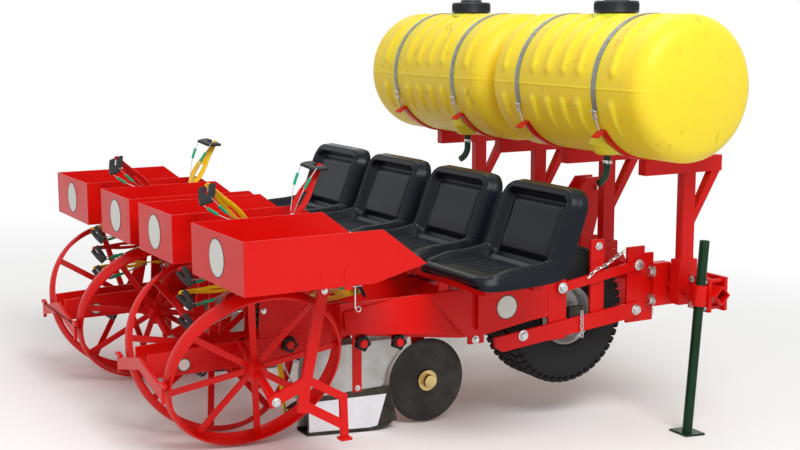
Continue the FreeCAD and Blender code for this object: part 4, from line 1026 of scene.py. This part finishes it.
def rim_mesh(node):
    """Pressed wheel: rolled flanges, a drop centre, a dished disc on each side, and its five studs."""
    place, _, half = wheel_frame(node)
    parts = []
    for side in SIDES:
        shell = [(101, half - 24), (104, half - 15), (109, half - 11), (111, half - 7), (109, half - 4),
                 (105, half - 6), (99, half - 13), (96, half - 24), (94, 40), (86, 34), (60, 22), (42, 20), (42, 16),
                 (62, 18), (88, 30), (98, 36)]
        parts.append(turned([(r, side * z) for r, z in shell], 72, ring=True))
        stud = turned([(0, 14), (8.5, 14), (9.8, 15), (9.8, 24), (8.5, 26), (5.5, 26), (5.5, 32), (0, 32)], 6)
        flip = Matrix.Identity(3) if side > 0 else Matrix.Rotation(math.pi, 3, "X")
        for turn in (CIRCLE * i / 5 + 0.3 for i in range(5)):
            parts.append(moved(stud, at(66 * math.cos(turn), 66 * math.sin(turn), side * 6, flip)))
    return joined("rim", parts, place)


def hub_mesh(node):
    """Dark bearing hub with its seals, through the middle of the wheel."""
    half = [(40, 12), (46, 14), (46, 22), (34, 26), (34, 54), (27, 58), (27, 67), (24, 70), (12.6, 70)]
    profile = [(r, -y) for r, y in reversed(half)] + half
    return joined("hub", [turned(profile, 48, ring=True)], wheel_frame(node)[0])


def bolt_template():
    """Hex head on a washer, 24 mm across its flats, standing on Z = 0; other sizes are this one scaled."""
    washer = turned([(0, 0), (18.5, 0), (18.5, 2.4), (17.6, 3), (0, 3)], 20)
    head = turned([(0, 3), (13.2, 3), (13.86, 4.2), (13.86, 11.4), (12.3, 13), (0, 13)], 6)
    return joined("bolt", [washer, head], TO_M)


def rivet_template():
    """Domed rivet head, standing on Z = 0."""
    return joined("rivet", [turned([(0, 0), (7, 0), (6.6, 2), (4.6, 3.6), (0, 4.4)], 12)], TO_M)


# ---- where the fasteners and labels go
# Drawn for the right-hand row, whose outer side is the -Y side: a head is its X, its offset from the row's middle,
# its Z (mm), the way it points, and its size beside an M16 bolt's.
FACE, LINK_FACE, AXLE_FACE = 151.0, 163.0, 352.0      # rail, link arm and footrest faces from the row's middle
SHOE_FACE = 41.0                                      # outer face of a wear plate
CLAMP_Y = 847.0                                       # a stand's clamp, from the machine's middle
WHEEL_X, AXLE_END_Z = -1195.0, 197.5
TRAY_BACK, TRAY_FLOOR = -1359.0, 573.2
LOWER_PIN, LOWER_PIN_END = (623.0, 199.0), 423.5
# on each side of a row: (offset, size, the X and Z of each head), all of them pointing outwards
SIDE_BOLTS = ((LINK_FACE, 1.1, ((25, 398), (375, 450), (366, 280), (-146, 242))),
              (FACE, 0.8, ((195, 535), (-340, 248))), (AXLE_FACE, 0.8, ((WHEEL_X, AXLE_END_Z),)),
              (AXLE_FACE, 0.6, ((-1025, TRAY_FLOOR - 42),)),
              (66, 0.55, ((-1098, 520), (-1095, 612), (-985, 612), (-965, 520), (-1108, 420))),
              (44, 0.55, ((-752, 104),)))
SIDE_RIVETS = ((SHOE_FACE, 0.8, ((-928, 66), (-800, 63), (-735, 61), (-926, -12), (-800, -26))),)


def side_heads(table):
    """Heads that point outwards on both sides of a row."""
    return [(x, s * offset, z, (0, s, 0), size) for offset, size, spots in table for x, z in spots for s in SIDES]


def rear_heads():
    """Heads that point to the rear, on the uprights and on the stands' clamps."""
    heads = [(436, s * 166, z, (-1, 0, 0), 1.35) for s in SIDES for z in (421, 312)]
    return heads + [(482, ROW - CLAMP_Y + 36 * k, z, (-1, 0, 0), 0.7) for k in SIDES for z in (320, 416)]


def disc_parts(radius, place, thick=0.7, rim=3.0):
    """Blank round label: a pale film and a raised dark border ring."""
    inner, outer, top = radius - 0.5, radius + rim, thick * 1.3
    border = turned([(inner, 0), (outer, 0), (outer, top), (inner, top)], 40, ring=True)
    return moved(post(radius, 0, thick, 40), place), moved(border, place)


def label_places():
    """Where the blank labels sit: (radius, place) on the tray backs, the guard boxes and the rear bars."""
    out = []
    for row in ROWS:
        for y in (row * (ROW + 300.0), row * (ROW - 262.0)):
            turn = Matrix.Rotation(-math.pi / 2, 3, "Y")
            out.append((58.0, parked_matrix((TRAY_BACK, y, TRAY_FLOOR + 84), turn)))
        for s in SIDES:
            turn = Matrix.Rotation(-s * math.pi / 2, 3, "X")
            out.append((41.0, parked_matrix((-222, row * ROW + s * 171.0, 356), turn)))
            out.append((19.0, parked_matrix((-1386, row * ROW + s * 66.0, 276), turn)))
    return out


CHAIN_RUNS = (((134, 430), (165, 452), (211, 468), (255, 492), (293, 509)), ((106, 299), (107, 255), (108, 217)))
CHAIN_STEP = 15.0                 # from one welded link to the next


def safety_chain():
    """Short welded chain from the lower arm's pin up to the tall upright, on the outside of each row."""
    parts = []
    loop = [(math.copysign(5.5, math.cos(a)) + 5.2 * math.cos(a), 5.2 * math.sin(a), 0) for a in round_steps(12, 0.5)]
    link = swept(loop, 1.8, 5, closed=True)
    for row in ROWS:
        for run in CHAIN_RUNS:
            path = smooth_line([(x, row * (ROW + 174.0), z) for x, z in run], [6] * (len(run) - 1))
            length = sum((b - a).length for a, b in zip(path, path[1:]))
            count = int(length / CHAIN_STEP)
            done, i = 0.0, 0
            for k in range(count + 1):
                want = length * k / count
                while i < len(path) - 2 and done + (path[i + 1] - path[i]).length < want:
                    done += (path[i + 1] - path[i]).length
                    i += 1
                ahead = (path[i + 1] - path[i]).normalized()
                roll = Matrix.Rotation(math.pi / 2 * (k % 2), 3, "X")
                turn = ahead.to_track_quat("X", "Z").to_matrix() @ roll
                parts.append(moved(link, at(*(path[i] + ahead * (want - done)), turn)))
    return joined("safety_chain", parts, parked_matrix())


def hoop(x, y, z, radius, wire, count):
    """Ring of round wire across the machine."""
    loop = [(x + radius * math.cos(a), y, z + radius * math.sin(a)) for a in round_steps(count)]
    return swept(loop, wire, 6, closed=True)


def lynch_pins():
    """Ring pins: through the lower hitch pins, and on the outer trays' hangers."""
    parts = []
    for side in SIDES:
        x, y, z = LOWER_PIN[0], side * (LOWER_PIN_END - 22.0), LOWER_PIN[1]
        parts += [hoop(x, y, z - 2, 26, 2.2, 24), swept([(x, y, z + 27), (x, y, z - 20)], 3.6, 8),
                  moved(post(8, -6, 6, 12), at(x, y, z + 26))]
        y = side * (ROW + 512.0)
        parts += [hoop(-990, y, 500, 8, 1.3, 16), swept([(-1001, y, 572), (-1001, y, 502)], 1.9, 8)]
    return joined("ring_pins", parts, parked_matrix())


def tray_hangers():
    """Strip down the outer side of each outer tray, with a small stamped plate beside it."""
    return joined("tray_hangers", [
        upright([(x0, z0), (x1, z0), (x1, z1), (x0, z1)], side * (ROW + 509.8), side * (ROW + 511.2))
        for side in SIDES for x0, x1, z0, z1 in ((-1036, -1012, 562, 634), (-1113, -1077, 592, 621))])


def hose_clamps():
    """Worm-drive clamp on each outlet hose."""
    z, r = 846, HOSE_R + 1.4
    band = turned([(r - 1.5, -6), (r, -6), (r + 0.6, -5), (r + 0.6, 5), (r, 6), (r - 1.5, 6)], 32, ring=True)
    parts = []
    for y in OUTLET_Y.values():
        parts += [moved(band, at(HOSE_X, y, z)), moved(block(-7, 7, -4, 4, -5, 5), at(HOSE_X, y - r - 3.5, z))]
    return joined("hose_clamps", parts, parked_matrix())


# ---- guards, openers and link arms
def bent_sheet(name, points, faces, thickness):
    """Bent sheet metal (m), thickened about its faces, with rolled edges."""
    held = in_scene(name, merged(mesh_of(name, points, faces)))
    return shaded(thickened(held, thickness, thickness * 0.3), 30.0)


# corners of a guard: X, Z, and how far each stands out from the rail's face
GUARD = {"a": (-862, 406, 6), "b": (-862, 338, 26), "c": (-448, 288, 40), "d": (-532, 424, 7), "e": (-560, 434, 5),
         "f": (-660, 431, 5), "g": (-386, 264, 8), "h": (-342, 266, 5), "i": (-342, 436, 5)}
GUARD_FACES = ("abc", "acd", "adf", "fde", "dcg", "dgh", "dhi", "die")
GUARD_BOX = [(-341, 286), (-107, 330), (-107, 404), (-140, 424), (-341, 424)]


def guard_mesh():
    """Guards over the rails: a face that flares out towards its foot, folded back to a shallow closed box."""
    points, faces, boxes = [], [], []
    for row in ROWS:
        for s in SIDES:
            spot = {key: len(points) + i for i, key in enumerate(GUARD)}
            points += [parked(x, row * ROW + s * (FACE + out), z) for x, z, out in GUARD.values()]
            faces += [tuple(spot[key] for key in face) for face in GUARD_FACES]
            boxes.append(upright(GUARD_BOX, row * ROW + s * FACE, row * ROW + s * (FACE + 20)))
    return together(bent_sheet("guards", points, faces, 0.0035), joined("guard_boxes", boxes))


SHOE_FLOOR = ((-941.0, -39.0), (-600.0, -65.2))         # X and Z of the shoe's sole at its ends
SHOE_HALF, NOSE = 38.0, 38.0                            # half its width, and the length of its tapered nose
TOE_RISE = 28.0                                         # how far the black sole turns up at its toe


def sole(x):
    """Height of the shoe's sole at X."""
    (x0, z0), (x1, z1) = SHOE_FLOOR
    return z0 + (z1 - z0) * (x - x0) / (x1 - x0)


def toe(x):
    """How far the black sole has turned up at X."""
    return TOE_RISE * ramp(x, -700, -580)


def shoe_skin(rear, nose, low, high, out, thickness, closed=False):
    """Both sides of a furrow opener between two heights; rear and nose give its ends at a height."""
    points, faces = [], []
    levels = 14
    for row in ROWS:
        start = len(points)
        for i in range(levels + 1):
            part = i / levels
            x0, x1 = rear(part), nose(part)
            crease = x1 - NOSE
            spots = [(x0 + (crease - x0) * (1 - (1 - k / 6) ** 2), -SHOE_HALF) for k in range(6)]
            spots += [(crease + (x1 - crease) * k / 4, -SHOE_HALF + 33.0 * (k / 4) ** 1.6) for k in range(5)]
            spots.append((x1 + 4.0, 0.0))
            spots += [(x, -y) for x, y in reversed(spots[:-1])]
            points += [parked(x, row * ROW + y + math.copysign(out, y) * (y != 0.0),
                              low(x) + (high(x) - low(x)) * part) for x, y in spots]
        count = len(spots)
        faces += [(a, a + 1, a + count + 1, a + count)
                  for a in (start + i * count + k for i in range(levels) for k in range(count - 1))]
        if closed:
            last, tip = start + count - 1, count // 2
            faces += [(last - k, last - k - 1, start + k + 1, start + k) for k in range(tip - 1)]
            faces.append((last - tip + 1, start + tip, start + tip - 1))
    return bent_sheet("shoe", points, faces, thickness)


def side_plates(name, outline, offset, thick):
    """A flat plate on each side of both shoes."""
    return joined(name, [upright(outline, y - thick / 2, y + thick / 2)
                         for row in ROWS for y in (row * ROW - offset, row * ROW + offset)])


def shoe_meshes():
    """(grey opener, bright wear plates, black sole) of both rows."""
    grey = shoe_skin(lambda p: -941 + 61 * ramp(p, 0.62, 1.4), lambda p: -648 + 60 * p + 60 * ramp(p, 0.6, 1.0),
                     lambda x: sole(x) + 12, lambda x: 262.0, 0.0, 0.004)
    bright = side_plates("plates", [(-938, -27), (-676, -47), (-638, 68), (-938, 78)], SHOE_FACE, 2.0)
    black = shoe_skin(lambda p: -944.0, lambda p: -592.0 + 6 * p, lambda x: sole(x) + 0.5 + toe(x),
                      lambda x: sole(x) + 13 + toe(x), 2.4, 0.005, closed=True)
    backs = side_plates("backs", [(-941, -28), (-690, -48), (-594, -34), (-624, 98), (-941, 93)], 40.2, 1.2)
    return grey, bright, together(black, backs)


# ends of the upper and the lower link arm, their widths, and how far the lower one is cut back at its rear
LINK_ARMS = (((25, 398), (375, 450), 34, 0.0), ((-264, 217.6), (380, 282), 58, 30.0))


def link_mesh():
    """Parallel link arms: two straight flats a side, the lower one cut back at its rear end."""
    parts = []
    for row in ROWS:
        for s in SIDES:
            for rear, front, wide, cut in LINK_ARMS:
                rear, front = Vector(rear), Vector(front)
                ahead = (front - rear).normalized()
                aside = Vector((-ahead.y, ahead.x)) * wide / 2
                outline = [rear + aside, rear - aside * 0.2, rear + ahead * cut - aside, front - aside, front + aside]
                parts.append(upright([tuple(p) for p in outline], row * ROW + s * FACE, row * ROW + s * LINK_FACE))
    return joined("links", parts)


# ---- pieces, and the nodes that stay
def piece(name, mesh, finish, body, replaces=()):
    """A finished piece: its own object at the origin, riding on a body of the machine."""
    made = in_scene(name, mesh)
    if finish:
        mesh.materials.clear()
        mesh.materials.append(FINISHES[finish])
    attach(made, body)
    if replaces:
        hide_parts(*replaces)
    return made


def soften(node, width_mm):
    """Rolls the edges of a node that stays: welded, its flats cleaned, its edges rounded."""
    node.modifiers.new("weld", "WELD").merge_threshold = 1e-5
    flat = node.modifiers.new("flats", "DECIMATE")
    flat.decimate_type, flat.angle_limit = "DISSOLVE", math.radians(0.4)
    edge = node.modifiers.new("edges", "BEVEL")
    edge.width, edge.segments = width_mm * MM, 2
    edge.limit_method, edge.angle_limit = "ANGLE", math.radians(35.0)
    edge.harden_normals = True


# finishes of the nodes that aren't red, and the nodes that keep their sharp edges or have thin ones
NODE_FINISH = {node: finish for finish, nodes in {
    "yellow enamel": ["yellow_arms"], "green enamel": ["right_stand", "left_stand"], "polyethylene": TANKS,
    "polypropylene": ["right_tank_lid", "left_tank_lid"], "vinyl": ["seats"], "pad rubber": ["gripper_pads"],
    "galvanised": ["tank_straps"], "zinc": ["hitch_pins"],
    "oiled steel": ["planting_chains", "chain_sprockets", "drive_axles", "shoe_runners"],
    "blued steel": ["right_coulter_disc", "left_coulter_disc"], "rolled steel": ["shoes"],
    "bright steel": ["shoe_plates"], "yellow zinc": ["right_coulter_hub", "left_coulter_hub"],
    "tyre rubber": ["right_drive_tyre", "left_drive_tyre"], "silver paint": ["right_drive_rim", "left_drive_rim"],
    "hose rubber": ["outlet_hoses"]}.items() for node in nodes}
UNSOFTENED = ("right_tank", "left_tank", "seats", "right_drive_tyre", "left_drive_tyre", "planting_chains")
THIN_EDGE = {"trays": 0.8, "tank_straps": 0.4, "tank_bands": 1.0, "guard_plates": 1.2, "yellow_arms": 0.8,
             "red_arms": 0.8, "gripper_pads": 1.2, "shoes": 0.9, "shoe_plates": 0.6, "right_coulter_disc": 0.4,
             "left_coulter_disc": 0.4, "hitch_pins": 1.0}


# ---- stage
EYE = (-2816.3, -4496.1, 1383.9)      # camera in the working frame, mm
YAW, DIP, ROLL = 0.51162, 0.15723, -0.00206
LENS, SENSOR = 60.29, 36.0            # mm
LAMP_SPOTS = {"key": (-0.7, -4.0, 4.7), "fill": (-4.6, -1.6, 2.6), "top": (0.4, 2.4, 4.8)}


def lay_floor(settings):
    """A wide pale disc that fades into the white surround at its rim."""
    sides = 96
    points = [(0.0, 0.0, 0.0)]
    points += [(settings.reach * math.cos(a), settings.reach * math.sin(a), 0.0) for a in round_steps(sides)]
    floor = in_scene("floor", mesh_of("floor", points, [(0, i + 1, (i + 1) % sides + 1) for i in range(sides)]))
    floor.location.z = -0.0005
    made, tree, spot = new_material("studio_floor")
    far = add(tree, "ShaderNodeVectorMath", {0: spot}, operation="LENGTH")
    fade = add(tree, "ShaderNodeMapRange", {"Value": far.outputs["Value"], "From Min": settings.reach * 0.1,
                                            "From Max": settings.reach * 0.36})
    paper = add(tree, "ShaderNodeBsdfDiffuse", {"Color": hex_colour(settings.floor)})
    clear = add(tree, "ShaderNodeBsdfTransparent")
    mixed = add(tree, "ShaderNodeMixShader", {0: fade.outputs["Result"], 1: paper.outputs["BSDF"],
                                              2: clear.outputs["BSDF"]})
    add(tree, "ShaderNodeOutputMaterial", {"Surface": mixed.outputs["Shader"]})
    floor.data.materials.append(made)


def hang_lights(settings):
    """Three large soft lights, and a world that is white to the camera and grey to the object."""
    middle = (CAD_BOX[0] + CAD_BOX[1]) / 2
    for name, power, size in (("key", settings.key, 3.2), ("fill", settings.fill, 4.0),
                              ("top", settings.fill * 1.6, 4.0)):
        lamp = bpy.data.lights.new(name, "AREA")
        lamp.energy, lamp.shape, lamp.size = power, "DISK", size
        held, spot = in_scene(name, lamp), Vector(LAMP_SPOTS[name])
        held.location = spot
        held.rotation_euler = (middle - spot).to_track_quat("-Z", "Y").to_euler()
    world = bpy.data.worlds.new("surround")
    bpy.context.scene.world = world
    world.use_nodes = True
    tree = world.node_tree
    tree.nodes.clear()
    ray = add(tree, "ShaderNodeLightPath").outputs
    mirror = add(tree, "ShaderNodeMath", {0: ray["Is Glossy Ray"], 1: ray["Is Transmission Ray"]},
                 operation="MAXIMUM")
    seen = add(tree, "ShaderNodeMath", {0: ray["Is Camera Ray"], 1: mirror.outputs["Value"]}, operation="MAXIMUM")
    soft = add(tree, "ShaderNodeBackground", {"Color": hex_colour("#ffffff"), "Strength": settings.sky})
    white = add(tree, "ShaderNodeBackground", {"Color": hex_colour("#ffffff"), "Strength": 1.0})
    both = add(tree, "ShaderNodeMixShader", {0: seen.outputs["Value"], 1: soft.outputs["Background"],
                                             2: white.outputs["Background"]})
    add(tree, "ShaderNodeOutputWorld", {"Surface": both.outputs["Shader"]})
    bpy.context.scene.view_settings.view_transform = "Standard"


def set_camera():
    """The camera stands behind the machine's right corner, low, and level with the working frame."""
    ahead = Vector((math.sin(YAW) * math.cos(DIP), math.cos(YAW) * math.cos(DIP), -math.sin(DIP)))
    across = Vector((math.cos(YAW), -math.sin(YAW), 0.0))
    up = across.cross(ahead)
    right = across * math.cos(ROLL) + up * math.sin(ROLL)
    up = up * math.cos(ROLL) - across * math.sin(ROLL)
    turn = Matrix((right, up, -ahead)).transposed()
    lens = bpy.data.cameras.new("camera")
    lens.lens, lens.sensor_width = LENS, SENSOR
    camera = in_scene("camera", lens)
    camera.matrix_world = Matrix.Translation(parked(*EYE)) @ (PARKED_TURN @ turn).to_4x4()
    bpy.context.scene.camera = camera


# ---- settings in the sidebar
class TransplanterPaint(bpy.types.PropertyGroup):
    """Colours of the finishes, and how far edges are rolled"""

    red: StringProperty(name="Red", description="Frame enamel, sRGB hex", default="#cf0a06")
    yellow: StringProperty(name="Yellow", description="Arm enamel, sRGB hex", default="#f6cb14")
    green: StringProperty(name="Green", description="Stand enamel, sRGB hex", default="#04240f")
    tank: StringProperty(name="Tank", description="Tank polymer, sRGB hex", default="#f4dc34")
    vinyl: StringProperty(name="Vinyl", description="Seat skin, sRGB hex", default="#0c1118")
    edge: FloatProperty(name="Edge radius", description="Rolled edge of plates and tubes, mm", default=1.6,
                        min=0.2, max=4.0)


class TransplanterTanks(bpy.types.PropertyGroup):
    """Mould details of the tanks"""

    corner: FloatProperty(name="Corner", description="Rounding of a tank's ends, mm", default=72.0)
    rib_width: FloatProperty(name="Rib width", description="Width of a moulded rib, mm", default=44.0)
    rib_height: FloatProperty(name="Rib height", description="Height of a moulded rib, mm", default=10.0)
    seam: FloatProperty(name="Seam", description="Height of the mould seam, mm", default=2.0)


class TransplanterSeats(bpy.types.PropertyGroup):
    """Sizes of the four seats"""

    width: FloatProperty(name="Width", description="Width of a seat", default=0.44, unit="LENGTH")
    pitch: FloatProperty(name="Pitch", description="Distance between seats", default=0.51, unit="LENGTH")
    rim: FloatProperty(name="Rim", description="Height of the rolled rim", default=0.036, unit="LENGTH")
    thick: FloatProperty(name="Thickness", description="Depth of the foam", default=0.03, unit="LENGTH")


class TransplanterPlanting(bpy.types.PropertyGroup):
    """Sizes of the planting arms and their pads"""

    blade: FloatProperty(name="Blade", description="Width of an arm's leaf", default=0.05, unit="LENGTH")
    roll: FloatProperty(name="Twist", description="Twist of an arm's leaf, degrees", default=40.0)
    sheet: FloatProperty(name="Sheet", description="Thickness of an arm", default=0.004, unit="LENGTH")
    pad: FloatProperty(name="Pad width", description="Width of a rubber pad", default=0.084, unit="LENGTH")
    pad_deep: FloatProperty(name="Pad depth", description="Depth of a rubber pad", default=0.06, unit="LENGTH")


class TransplanterWheels(bpy.types.PropertyGroup):
    """Tread of the drive tyres"""

    tread: FloatProperty(name="Tread", description="Height of the lugs", default=0.01, unit="LENGTH")
    lugs: IntProperty(name="Lugs", description="Lugs in each row round a tyre", default=50)


class TransplanterStage(bpy.types.PropertyGroup):
    """Floor and lights"""

    floor: StringProperty(name="Floor", description="Floor colour, sRGB hex", default="#f6f6f5")
    reach: FloatProperty(name="Floor reach", description="Radius of the floor", default=14.0, unit="LENGTH")
    key: FloatProperty(name="Key light", description="Power of the large soft light", default=215.0, unit="POWER")
    fill: FloatProperty(name="Fill light", description="Power of the fill light", default=23.0, unit="POWER")
    sky: FloatProperty(name="Sky", description="Strength of the soft surround on the object", default=0.56,
                       subtype="FACTOR")


# ---- operators
class TRANSPLANTER_OT_paint(bpy.types.Operator):
    """Give every node of the frame its real finish and rolled edges"""

    bl_idname = "transplanter.paint"
    bl_label = "Paint the frame"

    def execute(self, context):
        paint = context.scene.transplanter_paint
        make_finishes(paint)
        for name, node in NODES.items():
            node.data.materials.clear()
            node.data.materials.append(FINISHES[NODE_FINISH.get(name, "red enamel")])
            if name not in UNSOFTENED:
                soften(node, THIN_EDGE.get(name, paint.edge))
        return {"FINISHED"}


class TRANSPLANTER_OT_trees(bpy.types.Operator):
    """Build the node trees that repeat bolts, ribs, lugs, arms and links"""

    bl_idname = "transplanter.trees"
    bl_label = "Build the node trees"

    def execute(self, context):
        TREES.update({"spots": spots_tree(), "ring": ring_tree(), "links": links_tree()})
        return {"FINISHED"}


class TRANSPLANTER_OT_tanks(bpy.types.Operator):
    """Mould the ribbed tanks and their lids, and fit the straps' rods and shackles"""

    bl_idname = "transplanter.tanks"
    bl_label = "Mould the tanks"

    def execute(self, context):
        settings = context.scene.transplanter_tanks
        for tank in TANKS:
            lid = tank + "_lid"
            piece(tank + "_shell", tank_mesh(tank, settings), "polyethylene", "frame", [tank])
            piece(lid + "_cap", lid_mesh(lid), "polypropylene", lid, [lid])
        straps = joined("straps", on_each_strap(strap_part))
        piece("tank_strap_bands", straps, "galvanised", "frame", ["tank_straps"])
        shackles = joined("strap_fittings", on_each_strap(shackle_parts))
        piece("strap_fittings", shackles, "zinc", "frame")
        piece("outlet_elbows", hose_mesh(), "hose rubber", "frame", ["outlet_hoses"])
        return {"FINISHED"}


class TRANSPLANTER_OT_seats(bpy.types.Operator):
    """Upholster the four seats"""

    bl_idname = "transplanter.seats"
    bl_label = "Upholster the seats"

    def execute(self, context):
        settings = context.scene.transplanter_seats
        for i in range(4):
            middle = (i - 1.5) * settings.pitch * M
            seat = piece("seat_%d" % (i + 1), seat_mesh(middle, settings), "vinyl", "frame", ["seats"])
        return {"FINISHED"}


class TRANSPLANTER_OT_planting(bpy.types.Operator):
    """Link the planting chains and hang the arms, pads, wires and sleeves on them"""

    bl_idname = "transplanter.planting"
    bl_label = "Build the planting chains"

    def execute(self, context):
        settings = context.scene.transplanter_planting
        arm = arm_template(settings)
        for which, colour, node in ((0, "red enamel", "red_arms"), (1, "yellow enamel", "yellow_arms")):
            piece(node + "_sheet", at_spots(arm, arm_places(which), colour), None, "frame", [node])
        every = arm_places()
        piece("pads", at_spots(pad_template(settings), every, "pad rubber"), None, "frame",
              ["gripper_pads"])
        piece("arm_wires", at_spots(wire_template(settings), every, "zinc"), None, "frame")
        piece("wire_sleeves", at_spots(sleeve_template(settings), every, "sleeve vinyl"), None, "frame")
        for name, row in (("right", -1), ("left", 1)):
            piece(name + "_planting_chain", chain_mesh(row), None, "frame", ["planting_chains"])
        rings = [sprocket_part(CHAIN_X, z, row * ROW) for row in ROWS for z in (CHAIN_LOW, CHAIN_HIGH)]
        knobs = [knob_parts(x, z, row * ROW + s * offset, -s) for row in ROWS for s in SIDES for x, z, offset in KNOBS]
        for name, parts, finish, slot, nodes in (
                ("sprocket_teeth", rings, "oiled steel", "dark_steel", ()),
                ("idler_knobs", [body for body, _ in knobs], "black enamel", "black_paint", ["idler_bosses"]),
                ("idler_caps", [cap for _, cap in knobs], "red enamel", "red_paint", ())):
            piece(name, joined(name, parts, parked_matrix()), finish, "frame", nodes)
        return {"FINISHED"}


class TRANSPLANTER_OT_wheels(bpy.types.Operator):
    """Fit the drive tyres, their pressed rims and their hubs"""

    bl_idname = "transplanter.wheels"
    bl_label = "Fit the drive wheels"

    def execute(self, context):
        settings = context.scene.transplanter_wheels
        for side in ("right", "left"):
            body, tyre, rim = side + "_drive_wheel", side + "_drive_tyre", side + "_drive_rim"
            piece(tyre + "_rubber", tyre_mesh(tyre, settings), "tyre rubber", body, [tyre])
            piece(rim + "_shells", rim_mesh(tyre), "silver paint", body, [rim])
            piece(side + "_drive_hub", hub_mesh(tyre), "oiled steel", body, [rim])
        return {"FINISHED"}


class TRANSPLANTER_OT_trim(bpy.types.Operator):
    """Fit the guards, links and openers, and the bolts, rivets, ring pins, chains, clamps and blank labels"""

    bl_idname = "transplanter.trim"
    bl_label = "Fit the trim"

    def execute(self, context):
        openers, wear_plates, soles = shoe_meshes()
        for name, mesh, finish, slot, node in (
                ("guards", guard_mesh(), "red enamel", "red_paint", "guard_plates"),
                ("links", link_mesh(), "red enamel", "red_paint", "link_arms"),
                ("openers", openers, "rolled steel", "grey_steel", "shoes"),
                ("wear_plates", wear_plates, "bright steel", "bright_steel", "shoe_plates"),
                ("soles", soles, "oiled steel", "dark_steel", "shoe_runners")):
            piece(name, mesh, finish, "frame", [node])
        bolts = on_both_rows(side_heads(SIDE_BOLTS) + rear_heads())
        piece("bolts", at_spots(bolt_template(), bolts, "zinc"), None, "frame")
        rivets = on_both_rows(side_heads(SIDE_RIVETS))
        piece("shoe_rivets", at_spots(rivet_template(), rivets, "bright steel"), None, "frame")
        films, borders = zip(*(disc_parts(radius, place) for radius, place in label_places()))
        piece("blank_labels", joined("blank_labels", films), "label film", "frame")
        piece("label_borders", joined("label_borders", borders), "label border", "frame")
        piece("safety_chains", safety_chain(), "zinc", "frame")
        piece("ring_pins", lynch_pins(), "zinc", "frame")
        piece("tray_hangers", tray_hangers(), "red enamel", "frame")
        piece("hose_clamps", hose_clamps(), "zinc", "frame")
        return {"FINISHED"}


class TRANSPLANTER_OT_stage(bpy.types.Operator):
    """Put up the floor, the white surround, the lights and the camera"""

    bl_idname = "transplanter.stage"
    bl_label = "Set the stage"

    def execute(self, context):
        settings = context.scene.transplanter_stage
        lay_floor(settings)
        hang_lights(settings)
        set_camera()
        return {"FINISHED"}


class TRANSPLANTER_PT_panel(bpy.types.Panel):
    """Sizes, colours and the steps that dress the machine"""

    bl_label = "Transplanter"
    bl_idname = "TRANSPLANTER_PT_panel"
    bl_space_type = "VIEW_3D"
    bl_region_type = "UI"
    bl_category = "Transplanter"

    def draw(self, context):
        for group in GROUPS:
            box = self.layout.box()
            settings = getattr(context.scene, group)
            for key in settings.__annotations__:
                box.prop(settings, key)
        for step in STEPS:
            self.layout.operator(step.bl_idname)


GROUPS = {"transplanter_paint": TransplanterPaint, "transplanter_tanks": TransplanterTanks,
          "transplanter_seats": TransplanterSeats, "transplanter_planting": TransplanterPlanting,
          "transplanter_wheels": TransplanterWheels, "transplanter_stage": TransplanterStage}
STEPS = (TRANSPLANTER_OT_paint, TRANSPLANTER_OT_trees, TRANSPLANTER_OT_tanks, TRANSPLANTER_OT_seats,
         TRANSPLANTER_OT_planting, TRANSPLANTER_OT_wheels, TRANSPLANTER_OT_trim, TRANSPLANTER_OT_stage)
CLASSES = tuple(GROUPS.values()) + STEPS + (TRANSPLANTER_PT_panel,)


def register():
    """Adds the classes, and the settings to the scene."""
    for kind in CLASSES:
        bpy.utils.register_class(kind)
    for name, kind in GROUPS.items():
        setattr(bpy.types.Scene, name, PointerProperty(type=kind))


def unregister():
    """Takes the settings and the classes away again."""
    for name in GROUPS:
        delattr(bpy.types.Scene, name)
    for kind in reversed(CLASSES):
        bpy.utils.unregister_class(kind)


def main():
    """Dresses the machine step by step."""
    register()
    for step in STEPS:
        area, verb = step.bl_idname.split(".")
        getattr(getattr(bpy.ops, area), verb)()


if __name__ == "__main__":
    main()
